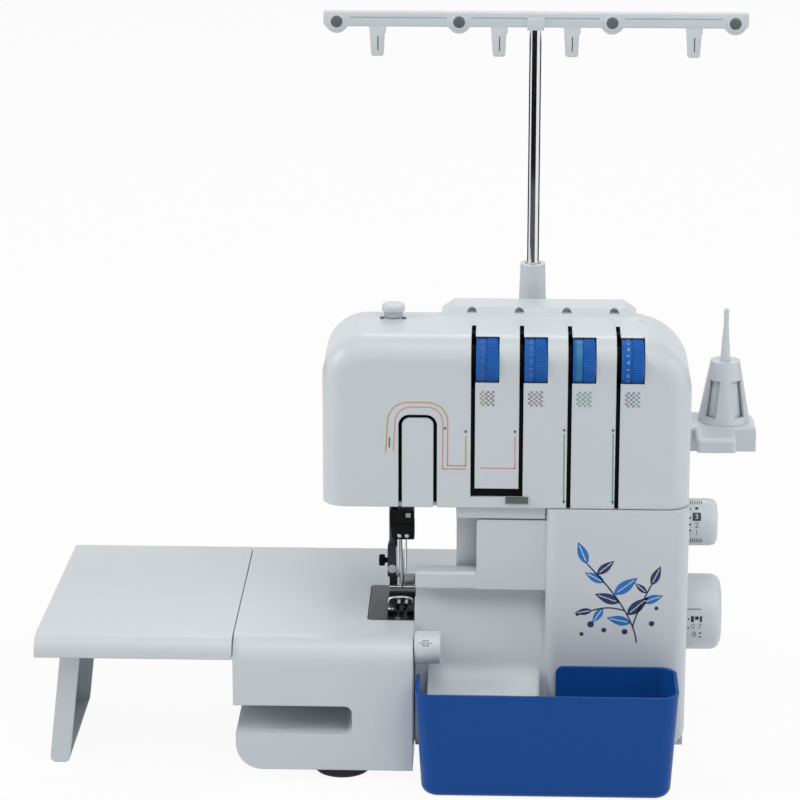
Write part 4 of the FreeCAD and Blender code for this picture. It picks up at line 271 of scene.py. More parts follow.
def grid(points: np.ndarray, closed: bool) -> Surface:
    """Skin a grid of points with quads: point (i, j) joins (i+1, j), (i+1, j+1) and (i, j+1).

    Args:
        points: rows by columns by 3.
        closed: whether the last column joins the first.

    Returns:
        The skin.
    """
    rows, columns = points.shape[:2]
    index = np.arange(rows * columns).reshape(rows, columns)
    if closed:
        index = np.concatenate([index, index[:, :1]], axis=1)
    quads = np.stack([index[:-1, :-1], index[:-1, 1:], index[1:, 1:], index[1:, :-1]], axis=-1)
    return Surface(points.reshape(-1, 3), [quads.reshape(-1, 4)])


def loft(rings: np.ndarray) -> Surface:
    """Skin a row of closed rings and close the first and last with a face each.

    Args:
        rings: rows of rings, by points round a ring, by 3.

    Returns:
        The closed body.
    """
    body = grid(rings, True)
    rows, columns = rings.shape[:2]
    last = np.arange(columns)[None] + (rows - 1) * columns
    return Surface(body.points, [*body.faces, np.arange(columns)[None, ::-1], last])


def outward(outline: np.ndarray) -> np.ndarray:
    """Give each corner of a closed outline its outward step: the sum of both side normals, mitred.

    Args:
        outline: points by 2, counter-clockwise.

    Returns:
        Points by 2, long enough to move both sides out by 1.
    """
    side = np.roll(outline, -1, axis=0) - outline
    normal = np.stack([side[:, 1], -side[:, 0]], axis=1)
    normal /= np.linalg.norm(normal, axis=1, keepdims=True) + 1e-12
    both = normal + np.roll(normal, 1, axis=0)
    return 2 * both / np.maximum(np.sum(both * both, axis=1, keepdims=True), 0.8)


def rounded(width: float, height: float, radii: float | tuple[float, ...], centre: Pair) -> np.ndarray:
    """Draw a rectangle with a quarter circle at each corner, counter-clockwise from the upper right.

    Args:
        width, height: the full sizes.
        radii: one corner radius for all, or four, upper right first.
        centre: the middle of the rectangle.

    Returns:
        Points by 2.
    """
    turn = np.linspace(0, math.pi / 2, 7)[None] + np.arange(4)[:, None] * math.pi / 2
    radius = np.broadcast_to(radii, 4)[:, None]
    corner = np.array([[1, 1], [-1, 1], [-1, -1], [1, -1]])
    middle = corner * (np.array([width, height]) / 2 - radius)
    across = middle[:, :1] + radius * np.cos(turn) + centre[0]
    up = middle[:, 1:] + radius * np.sin(turn) + centre[1]
    return np.stack([across, up], axis=-1).reshape(-1, 2)


def slab(outline: np.ndarray, low: float, high: float, edge: float = 0.0, plane: Plane = Plane.FRONT) -> Surface:
    """Carry an outline along its normal, with rounded rims: inset edge(1 - sin t) at lift edge(1 - cos t).

    Args:
        outline: points by 2, counter-clockwise.
        low, high: the ends along the normal axis.
        edge: the radius of both rims.
        plane: the outline's plane.

    Returns:
        The closed body.
    """
    bend = np.linspace(0, math.pi / 2, 4 if edge else 2)
    inset = edge * (1 - np.sin(np.concatenate([bend, bend[::-1]])))
    lift = edge * (1 - np.cos(bend))
    height = np.concatenate([low + lift, high - lift[::-1]])
    rings = outline[None] - inset[:, None, None] * outward(outline)[None]
    return loft(lay(rings[..., 0], rings[..., 1], height[:, None], plane))


def revolve(
    profile: list[Pair], centre: Pair, steps: int, plane: Plane = Plane.FRONT, ripple: np.ndarray | float = 0.0
) -> Surface:
    """Turn a profile about an axis: a point at angle t lies at radius (cos t, sin t) from the axis.

    Args:
        profile: places along the axis, each with its radius.
        centre: the axis's two flat coordinates.
        steps: how many points lie round a ring.
        plane: the plane that the axis stands on.
        ripple: what is added to the radius, by profile place and step.

    Returns:
        The closed body.
    """
    along, radius = np.array(profile, float).T
    turn = round_turn(steps)
    reach = radius[:, None] + ripple
    return loft(lay(centre[0] + reach * np.cos(turn), centre[1] + reach * np.sin(turn), along[:, None], plane))


def flutes(weights: tuple[float, ...], depth: float, count: int, steps: int) -> np.ndarray:
    """Give a ripple for a turned profile: a cosine with count waves a turn, by each place's weight and the depth."""
    return np.array(weights)[:, None] * depth * np.cos(count * round_turn(steps))


def ribbon(path: np.ndarray, width: float, low: float, high: float) -> Surface:
    """Carry a flat strip along a path: each section is the path's point and half a width to either side.

    Args:
        path: points by 2, across and up.
        width: the strip's width.
        low, high: its two sides along y.

    Returns:
        The closed strip.
    """
    way = unit(np.gradient(path, axis=0))
    side = np.stack([-way[:, 1], way[:, 0]], axis=1) * width / 2
    flat = np.stack([path + side, path - side, path - side, path + side], axis=1)
    return loft(lay(flat[..., 0], flat[..., 1], np.array([low, low, high, high])[None], Plane.FRONT))


def bars(corners: list[Pair], width: float, low: float, high: float) -> Surface:
    """Draw a line with square corners: one straight strip a side, each half a width longer at both ends.

    Args:
        corners: the line's points, across and up.
        width: the strips' width.
        low, high: their two sides along y.

    Returns:
        The strips.
    """
    spots = np.array(corners, float)
    way = unit(np.diff(spots, axis=0)) * width / 2
    sides = zip(spots[:-1] - way, spots[1:] + way)
    return joined([ribbon(np.array(side), width, low, high) for side in sides])


def tube(path: np.ndarray, radius: float) -> Surface:
    """Carry a circle along a path in space, square to the path's way.

    Args:
        path: points by 3.
        radius: the tube's radius.

    Returns:
        The closed tube.
    """
    way = unit(np.gradient(path, axis=0))
    first = unit(np.cross(way, np.array([0.31, 0.77, 0.56])))
    second = np.cross(way, first)
    turn = round_turn(16)[..., None]
    return loft(path[:, None] + radius * (np.cos(turn) * first[:, None] + np.sin(turn) * second[:, None]))


def glyphs(words: str, size: float, thick: float = 0.08) -> Surface:
    """Make figures as a thin body across x, up y and thick along z, cut into rows so that it can bend.

    Args:
        words: the figures.
        size: their height.
        thick: the body's thickness.

    Returns:
        The body, centred.
    """
    data = bpy.data.curves.new("glyphs", "FONT")
    data.body, data.size, data.extrude = words, size, thick / 2
    data.align_x, data.align_y, data.resolution_u = "CENTER", "CENTER", 3
    holder = bpy.data.objects.new("glyphs", data)
    mesh = bpy.data.meshes.new_from_object(holder)
    work = bmesh.new()
    work.from_mesh(mesh)
    for height in np.linspace(-size / 2, size / 2, 11):
        parts = [*work.verts, *work.edges, *work.faces]
        bmesh.ops.bisect_plane(work, geom=parts, plane_co=(0, height, 0), plane_no=(0, 1, 0))
    work.to_mesh(mesh)
    work.free()
    points = np.empty(len(mesh.vertices) * 3)
    mesh.vertices.foreach_get("co", points)
    faces = [np.array([list(face.vertices)]) for face in mesh.polygons]
    bpy.data.objects.remove(holder)
    bpy.data.curves.remove(data)
    bpy.data.meshes.remove(mesh)
    return Surface(points.reshape(-1, 3), faces)


def mark(wide: float, tall: float, bend: float = 0.2) -> Surface:
    """Draw a rounded mark that can bend: rows up its height, each as wide as the rounding lets it be.

    Args:
        wide, tall: the full sizes.
        bend: the corner radius.

    Returns:
        The mark, centred and thin.
    """
    sunk, proud = -0.06, 0.05
    up = tall / 2 * np.sin(np.linspace(-math.pi / 2, math.pi / 2, 13))
    into = np.clip(np.abs(up) - (tall / 2 - bend), 0, bend)
    half = wide / 2 - bend + np.sqrt(np.maximum(bend**2 - into**2, 1e-6))
    across = np.stack([-half, half, half, -half], axis=1)
    return loft(lay(across, up[:, None], np.array([sunk, sunk, proud, proud])[None], Plane.TOP))


def span(node: str) -> tuple[np.ndarray, np.ndarray]:
    """Give a node's lowest and highest corner in millimetres from the machine's corner."""
    low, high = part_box(node)
    return np.array(low) / MM - CORNER, np.array(high) / MM - CORNER


@dataclass(frozen=True)
class Drum:
    """A turned piece: its plane, its axis's two flat coordinates, its radius and its two ends."""

    plane: Plane
    centre: Pair
    radius: float
    low: float
    high: float

    @classmethod
    def of(cls, node: str, plane: Plane = Plane.SIDE) -> "Drum":
        """Measure a node that turns on the normal axis of a plane.

        Args:
            node: the node.
            plane: the plane.

        Returns:
            The drum.
        """
        low, high = span(node)
        across, up, out = (plane.value.index(place) for place in range(3))
        middle, half = (low + high) / 2, (high - low) / 2
        radius = half[across if plane is Plane.TOP else up]
        return cls(plane, (middle[across], middle[up]), radius, low[out], high[out])

    def turned(
        self, near: Profile, far: Profile, steps: int, ripple: np.ndarray | float = 0.0
    ) -> list[Surface]:
        """Turn a profile about the drum's axis.

        Args:
            near, far: places past the low end and past the high end, each with its radius: one above 0 stands
                as it is, and any other is added to the drum's.
            steps: how many points lie round a ring.
            ripple: what is added to the radius, by profile place and step.

        Returns:
            The closed body, in a list.
        """
        places = [(self.low + past, reach) for past, reach in near] + [(self.high + past, reach) for past, reach in far]
        profile = [(along, reach if reach > 0 else self.radius + reach) for along, reach in places]
        return [revolve(profile, self.centre, steps, self.plane, ripple)]

    def wrap(self, flat: Surface, across: float, turn: float) -> Surface:
        """Bend a flat body round an X axis: its x goes along the axis, its y round it and its z out of it.

        Args:
            flat: the body, with its print's middle at the origin.
            across: where the middle goes along the axis.
            turn: the angle of the middle, in degrees from the front, upwards.

        Returns:
            The bent body.
        """
        angle = math.radians(turn) + flat.points[:, 1] / self.radius
        reach = self.radius + flat.points[:, 2]
        back, up = self.centre[0] - reach * np.cos(angle), self.centre[1] + reach * np.sin(angle)
        return Surface(np.stack([across + flat.points[:, 0], back, up], axis=1), flat.faces)

    def marks(self, start: float, rows: tuple[tuple[float, ...], ...]) -> list[Surface]:
        """Wrap marks on: a row holds a mark's width, height and corner radius, its place past start and its angle."""
        return [self.wrap(mark(wide, tall, bend), start + past, turn) for wide, tall, bend, past, turn in rows]

    def figures(self, start: float, rows: tuple[tuple[str, float, float, float], ...]) -> list[Surface]:
        """Wrap figures on: a row holds a figure, its height, its place past start and its angle."""
        return [self.wrap(glyphs(sign, tall), start + past, turn) for sign, tall, past, turn in rows]


@dataclass(frozen=True)
class Press:
    """A printer of thin marks on a face that looks to the front."""

    front: float
    proud: float = 0.06
    sunk: float = 0.02

    @property
    def ends(self) -> Pair:
        """The prints' two sides along y."""
        return self.front - self.proud, self.front + self.sunk

    def line(self, path: np.ndarray, width: float) -> Surface:
        """Print a strip along a path."""
        return ribbon(path, width, *self.ends)

    def sides(self, corners: list[Pair], width: float) -> Surface:
        """Print a line with square corners."""
        return bars(corners, width, *self.ends)

    def fill(self, outline: np.ndarray) -> Surface:
        """Print a filled outline."""
        return slab(outline, *self.ends)

    def dot(self, across: float, up: float, radius: float, steps: int) -> Surface:
        """Print a round dot."""
        return revolve([(end, radius) for end in self.ends], (across, up), steps)


def make(
    name: str,
    surfaces: list[Surface],
    finish: Finish,
    body: str = "machine",
    stands_for: tuple[str, ...] = (),
    sharp: float = 35.0,
) -> None:
    """Make a piece from surfaces, close its seams, dress it and let it ride on a body.

    Args:
        name: the piece's name.
        surfaces: its form, from the machine's corner.
        finish: its finish.
        body: the body that carries it.
        stands_for: the nodes that it replaces.
        sharp: the angle in degrees past which an edge stays sharp.
    """
    mesh = bpy.data.meshes.new(name)
    surface = joined(surfaces)
    places = (surface.points + CORNER) * MM
    mesh.from_pydata(places.tolist(), [], [row for rows in surface.faces for row in rows.tolist()])
    work = bmesh.new()
    work.from_mesh(mesh)
    bmesh.ops.remove_doubles(work, verts=work.verts, dist=2e-6)
    bmesh.ops.recalc_face_normals(work, faces=work.faces)
    work.to_mesh(mesh)
    work.free()
    mesh.shade_smooth()
    mesh.set_sharp_from_angle(angle=math.radians(sharp))
    mesh.materials.append(finish.material())
    piece = bpy.data.objects.new(name, mesh)
    bpy.context.scene.collection.objects.link(piece)
    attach(piece, body)
    if stands_for:
        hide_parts(*stands_for)
    log.info("made %s on %s: %d faces", name, body, len(mesh.polygons))


NODE_FINISH: dict[Finish, tuple[str, ...]] = {
    CASING: (
        "base_tray", "free_arm_casing", "head_front_casing", "take_up_cover", "rear_casing", "thread_guide_ridge",
        "pole_sleeve", "spool_stand", "spool_pins", "cone_holders", "front_cover", "wide_table",
        "table_leg", "handwheel", "stitch_length_dial", "stitch_width_dial", "pressure_knob", "guide_bar",
    ),
    BLEND: ("chute_side",),
    BIN_BLUE: ("trim_bin",),
    DIAL_BLUE: ("tension_dial_1", "tension_dial_2", "tension_dial_3", "tension_dial_4"),
    BLACK: (
        "needle_clamp", "power_inlet", "power_switch", "presser_lifter", "foot_screw", "motor", "motor_pulley",
    ),
    GREY: ("bar_studs", "head_thread_guide"),
    # The tension housings, discs and posts get near-black painted shade, since they are seen only down the dark slots
    SHADE: ("tension_housings", "tension_discs", "tension_posts"),
    RUBBER: ("rubber_feet",),
    STEEL: (
        "needle_bar", "foot_shank", "presser_foot", "upper_knife", "lower_knife", "upper_looper",
        "lower_looper", "main_feed_dog", "differential_feed_dog", "main_shaft", "cover_hinge_rod", "leg_pin",
        "stand_screws", "shaft_pulley",
    ),
    DARK_STEEL: ("needle_plate", "presser_bar"),
    BRIGHT: ("upper_pole", "pole_guide_tube", "needles"),
    CASTING: ("main_frame", "needle_rocker"),
    BELT: ("drive_belt",),
    BRONZE: ("shaft_bushes",),
}


def dress_nodes() -> None:
    """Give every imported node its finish."""
    for finish, names in NODE_FINISH.items():
        for name in names:
            slots = bpy.data.objects[name].data.materials
            slots.clear()
            slots.append(finish.material())
            log.info("dressed %s as %s", name, finish.name)


@dataclass
class Head:
    """The head's painted slot shade, the guide ridge's foot, the thread-path prints and the stitch pictures."""

    front: float = 30.0
    top: float = 302.0
    slots: tuple[float, ...] = (38.8, 70.8, 102.8, 134.8)
    slot_feet: tuple[float, ...] = (199.5, 199.5, 186.2, 186.2)
    slot_head: float = 269.0
    slot_half: float = 1.38
    slot_ends: Pair = (57.5, 67.8)
    shade_wall: Triple = (0.9, 3.0, 0.12)
    strip_tall: float = 9.0
    strip_up: float = 196.5
    tongue: Pair = (27.0, 65.5)
    tongue_middle: Pair = (2.15, 220.0)
    line: float = 0.8
    arrow_size: float = 1.3
    foot_reach: float = 4.0
    foot_rise: float = 2.3
    ridge_slants: Pair = (1.47, 1.03)
    wave_foot: float = 257.0
    wave_rise: float = 10.5
    wave_reach: float = 1.4
    wave_line: float = 0.6
    wave_turns: float = 3.5

    @property
    def press(self) -> Press:
        """The printer for the head's front."""
        return Press(self.front)

    def build(self) -> None:
        """Build the painted slot shade, the ridge's foot and the prints."""
        self.painted_shade()
        self.ridge_foot()
        self.paths()
        self.pictures()

    def painted_shade(self) -> None:
        """Paint shade into each slot: a near-black U section carried up the head's front, another along its top and a
        cap at its far end; a near-black strip and tongue behind the front stand for the shade in its gaps.
        """
        near, far, wall = self.shade_wall
        half, end = self.slot_half, self.slot_ends[1]
        across = np.array([-half, -half, half, half, half - wall, half - wall, wall - half, wall - half])[None]
        depth = np.array([near, far, far, near, near, far - wall, far - wall, near])[None]
        back = np.array(self.slot_ends)[:, None]
        runs = []
        # Near-black painted shade down each slot, along its top and over its far end
        for slot, foot in zip(self.slots, self.slot_feet):
            rise = np.array([foot, self.slot_head])[:, None]
            runs.append(loft(lay(slot + across, rise, self.front + depth, Plane.FRONT)))
            runs.append(loft(lay(slot + across, back, self.top - depth, Plane.TOP)))
            cap = rounded(2 * half, 2.7, 0.05, (slot, self.top - 1.5))
            runs.append(slab(cap, end - 0.3, end + 0.1))
        # A near-black strip between the first two slots' feet and a near-black tongue, set back behind the front:
        # painted shade in the gaps there
        first, second = self.slots[:2]
        strip = rounded(second - first + 5, self.strip_tall, 0.5, ((first + second) / 2, self.strip_up))
        runs.append(slab(strip, self.front + 3.1, self.front + 3.8, 0.1))
        tongue = rounded(*self.tongue, (8, 8, 0.5, 0.5), self.tongue_middle)
        runs.append(slab(tongue, self.front + 5.0, self.front + 5.8, 0.1))
        make("slot_painted_shade", runs, SHADE)

    def ridge_foot(self) -> None:
        """Blend the guide ridge into the head's top with a hollow curve round its front and ends.

        At t from 0 to 1 the curve lies foot_reach (1 - t)^2 outside the ridge's foot and foot_rise t^2 up its slope.
        """
        (left, near, lower), (right, far, _) = span("thread_guide_ridge")
        split = span("head_front_casing")[1][1]
        stops = np.array([
            (left, far, lower, -1, 0), (left, split, self.top, -1, 0), (left, near, self.top, -1, -1),
            (right, near, self.top, 1, -1), (right, split, self.top, 1, 0), (right, far, lower, 1, 0),
        ])[:, None]
        t = np.linspace(0, 1, 12)
        out = np.append(self.foot_reach * (1 - t) ** 2, [0.0, self.foot_reach])
        rise = np.append(self.foot_rise * t**2, [self.foot_rise, 0.0])
        drop = np.append(np.full(12, 0.01), [-self.foot_rise - 0.5, -0.5])
        across = stops[..., 0] + stops[..., 3] * (out - rise * self.ridge_slants[0])
        back = stops[..., 1] + stops[..., 4] * (out - rise * self.ridge_slants[1])
        rings = np.stack([across, back, stops[..., 2] + rise + drop], axis=-1)
        make("ridge_foot_blend", [loft(rings)], BLEND)

    def arch(self, left: float, right: float, foot: float, end: float, top: float, bend: float) -> Surface:
        """Print an arch: up a side, round a quarter circle, across, round another and down.

        Args:
            left, right: the arch's two sides.
            foot, end: where the left and right sides end.
            top: its highest place.
            bend: the radius of both corners.

        Returns:
            The print.
        """
        turn = np.linspace(math.pi, math.pi / 2, 12)
        into, up = bend + bend * np.cos(turn), top - bend + bend * np.sin(turn)
        rise, fall = np.stack([left + into, up], axis=1), np.stack([right - into, up], axis=1)[::-1]
        return self.press.line(np.vstack([[(left - 1.2, foot)], rise, fall, [(right, end)]]), self.line)

    def arrow(self, across: float, low: float) -> Surface:
        """Print a small arrowhead that points down, with its tip at a place."""
        size, top = self.arrow_size, low + 2 * self.arrow_size
        return self.press.fill(np.array([(across, low), (across + size, top), (across - size, top)]))

    def paths(self) -> None:
        """Print the threads' ways round the tongue and down the slots."""
        press, line = self.press, self.line
        gold = [self.arch(-17.9, 22.1, 224.5, 215.3, 259.0, 13.5)]
        gold.append(press.sides([(22.1, 215.3), (34.2, 215.3), (34.2, 235.6)], line))
        make("thread_path_gold", gold, GOLD_INK)
        pink = [self.arch(-12.9, 18.9, 225.1, 213.0, 255.8, 10.5)]
        pink.append(press.sides([(18.9, 213.0), (34.2, 213.0)], line))
        pink.append(press.sides([(44.4, 213.8), (66.9, 213.8), (66.9, 235.9)], line))
        make("thread_path_pink", pink, PINK_INK)
        for name, way, tip, finish in (
            ("green", [(99.7, 191.0), (99.4, 238.0)], 99.8, GREEN_INK),
            ("teal", [(132.2, 191.0), (131.8, 238.5)], 132.4, TEAL_INK),
        ):
            make(f"thread_path_{name}", [press.sides(way, line), self.arrow(tip, 189.0)], finish)
        spots = ((20.3, 241.3), (34.1, 239.1), (66.8, 239.4), (99.4, 240.8), (131.7, 241.0))
        marks = [press.dot(*spot, 1.0, 16) for spot in spots]
        marks.append(press.sides([(-16.7, 228.1), (-16.6, 234.1)], 1.1))
        make("thread_path_marks", marks, GREY_INK)

    def wave(self, across: float) -> Surface:
        """Print a stitch: a sine wave that climbs by wave_rise.

        Args:
            across: its middle line.

        Returns:
            The print.
        """
        rise = np.linspace(0, 1, 49)
        swing = self.wave_reach * np.sin(2 * math.pi * self.wave_turns * rise)
        path = np.stack([across + swing, self.wave_foot + self.wave_rise * rise], axis=1)
        return self.press.line(path, self.wave_line)

    def pictures(self) -> None:
        """Print three stitch waves below each dial, each wave in its own ink."""
        rows = (
            (OLIVE_INK, MAUVE_INK, MAUVE_INK), (MAUVE_INK, DUSK_INK, MAUVE_INK),
            (SAGE_INK, SAGE_INK, SAGE_INK), (MAUVE_INK, MAUVE_INK, TEAL_INK),
        )
        for index, (slot, row) in enumerate(zip(self.slots, rows), start=1):
            for side, shift, finish in zip(("left", "middle", "right"), (5.9, 9.3, 12.7), row):
                make(f"stitch_picture_{index}_{side}", [self.wave(slot + shift)], finish)


@dataclass
class TensionUnits:
    """The four blue tension dials: a smooth band with figures and a finely ribbed grip."""

    band: float = 6.4
    band_sunk: float = 0.35
    bore: float = 4.0
    rib: float = 0.32
    ribs: int = 60
    sweep: float = 320.0
    figures: str = "0123456789"
    banded: int = 3
    inks: tuple[Finish, ...] = (RED_INK, ROSE_INK, LAGOON_INK, PALE_INK)

    def build(self) -> None:
        """Build each dial and its figures on its own body."""
        for index, finish in enumerate(self.inks, start=1):
            self.dial(index, finish)

    def dial(self, index: int, finish: Finish) -> None:
        """Build a dial: a turned profile whose grip's radius swings by a rib's depth round the ring.

        Args:
            index: which dial.
            finish: the ink of its figures.
        """
        node, body = f"tension_dial_{index}", f"dial_{index}"
        drum = Drum.of(node)
        low, band, sunk = drum.low, self.band, -self.band_sunk
        near = (
            (0, self.bore), (0, sunk - 0.9), (0.3, sunk - 0.25), (0.9, sunk), (band, sunk), (band + 0.2, sunk - 0.5),
            (band + 0.5, sunk - 0.5), (band + 0.8, -self.rib),
        )
        far = ((-1.0, -self.rib), (-0.3, -1.0), (0, -1.8), (0, self.bore))
        steps = self.ribs * 6
        ribbed = flutes((0, 0, 0, 0, 0, 0, 0, 1, 1, 0.6, 0, 0), self.rib, self.ribs, steps)
        make(f"{node}_grip", drum.turned(near, far, steps, ribbed), DIAL_BLUE, body, (node,), 50)
        smooth = replace(drum, radius=drum.radius + sunk)
        step = self.sweep / len(self.figures)
        marks = []
        for place, figure in enumerate(self.figures):
            turn = self.sweep / 2 - step * (place + 0.5)
            marks += smooth.figures(low, ((figure, 3.6, 4.3, turn),))
            marks += smooth.marks(low, ((1.8, 0.6, 0.2, 4.2, turn - step / 2),))
        if index == self.banded:
            foot, top = sunk - 0.1, sunk + 0.03
            marks += drum.turned(((2.2, foot), (2.2, top), (6.0, top), (6.0, foot)), (), 128)
        make(f"{node}_figures", marks, finish, body)


@dataclass
class ThreadPole:
    """The telescopic pole and its guide bar with hooks and studs."""

    middle: float = 78.0
    hooks: tuple[float, ...] = (-106.5, -24.5, 24.5, 106.5)
    studs: tuple[float, ...] = (-134.0, -51.5, 51.5, 134.0)
    hook_top: float = 5.7
    hook_foot: float = 4.3
    hook_thick: float = 3.2
    rim: float = 1.0
    depth: float = 10.0
    boss: float = 8.0
    boss_skirt: float = 10.5
    groove_drop: float = 3.6

    def build(self) -> None:
        """Build the pole, the bar and its studs."""
        self.pole()
        self.bar()
        self.stud_heads()

    def pole(self) -> None:
        """Turn the pole with a small chamfer at both ends."""
        body = Drum.of("upper_pole", Plane.TOP).turned(((0, -0.6), (0.6, 0)), ((-0.8, 0), (0, -0.8)), 64)
        make("upper_pole_tube", body, BRIGHT, "pole", ("upper_pole",))

    def bar(self) -> None:
        """Build the bar: a rounded slab with chamfered ends, stud bosses, a hub and four slit hooks; grooves and slits
        are strips of painted shade.
        """
        (left, near, low), (right, far, high) = span("guide_bar")
        stud_low, stud_high = span("bar_studs")
        rise, front = (stud_low[2] + stud_high[2]) / 2, stud_high[1]
        back, top = near + far - front, high - 1.0
        foot = top - self.depth
        ends = np.array([
            (left + 1.6, foot), (right - 1.6, foot), (right, foot + 1.6), (right, top - 1),
            (right - 1, top), (left + 1, top), (left, top - 1), (left, foot + 1.6),
        ])
        runs = [slab(ends, front, back, self.rim)]
        arc = np.radians(np.linspace(210, 330, 13))
        collar = [(front - 0.5, 3.9), (front - 0.5, 5.2), (front - 0.2, 5.8), (front + 1.0, 6.1)]
        for across in (self.middle + shift for shift in self.studs):
            boss = np.stack([across + self.boss * np.cos(arc), rise + self.boss * np.sin(arc)], axis=1)
            skirt = [(across + self.boss_skirt, foot + 1.5), (across - self.boss_skirt, foot + 1.5)]
            boss = np.concatenate([boss, skirt])
            boss[:, 0] = np.clip(boss[:, 0], left + 0.2, right - 0.2)
            runs.append(slab(boss, front + 0.02, back - 0.6, 0.7))
            runs.append(revolve(collar, (across, rise), 48))
        half, hub_foot, hub_top = (far - near) / 2, foot - 1.8, top - 3.2
        hub_left, hub_right = self.middle - half, self.middle + half
        hub = np.array([(hub_left, hub_foot), (hub_right, hub_foot), (hub_right, hub_top), (hub_left, hub_top)])
        runs.append(slab(hub, near, far, 0.9))
        runs += [self.hook(self.middle + shift, foot, low, front) for shift in self.hooks]
        make("guide_bar_moulding", runs, CASING, "thread_bar", ("guide_bar",))
        lines, slit_shades = [], []
        # The grooves are flat strips in a darker tone: painted groove shadow
        up = top - self.groove_drop
        for first, last in zip(self.studs[:-1], self.studs[1:]):
            path = [(self.middle + first + 9, up), (self.middle + last - 9, up)]
            lines.append(bars(path, 0.9, front - 0.02, front + 0.2))
        make("guide_bar_groove_shadows", lines, GROOVE_SHADOW, "thread_bar")
        # Dark grey strips on the hooks: painted shade where the slits are
        for shift in self.hooks:
            across = self.middle + shift + 0.3
            slit_shades.append(bars([(across, low + 4.4), (across, low + 13.4)], 0.8, front - 0.03, front + 0.3))
        make("guide_bar_slit_shades", slit_shades, GREY, "thread_bar")

    def hook(self, across: float, top: float, foot: float, front: float) -> Surface:
        """Build a hook: a tapered tongue under the bar with a small step at its upper right.

        Args:
            across: its middle.
            top: where it meets the bar.
            foot: its lower end.
            front: the bar's front.

        Returns:
            The hook.
        """
        narrow, wide = self.hook_foot, self.hook_top
        outline = np.array([
            (across - narrow, foot + 1.2), (across - narrow + 1.2, foot),
            (across + narrow - 1.2, foot), (across + narrow, foot + 1.2),
            (across + wide - 0.8, top - 4.5), (across + wide, top - 4.0),
            (across + wide, top + 1), (across - wide, top + 1),
        ])
        return slab(outline, front, front + self.hook_thick, 0.7)

    def stud_heads(self) -> None:
        """Turn the four grey studs with a low dome."""
        (_, face, low), (_, back, high) = span("bar_studs")
        reach, rise = (high - low) / 2, (high + low) / 2
        dome = [
            (face, 0.6), (face + 0.15, reach * 0.55), (face + 0.5, reach * 0.9), (face + 0.9, reach),
            (back + 0.2, reach),
        ]
        heads = [revolve(dome, (self.middle + shift, rise), 40) for shift in self.studs]
        make("bar_stud_heads", heads, GREY, "thread_bar", ("bar_studs",))


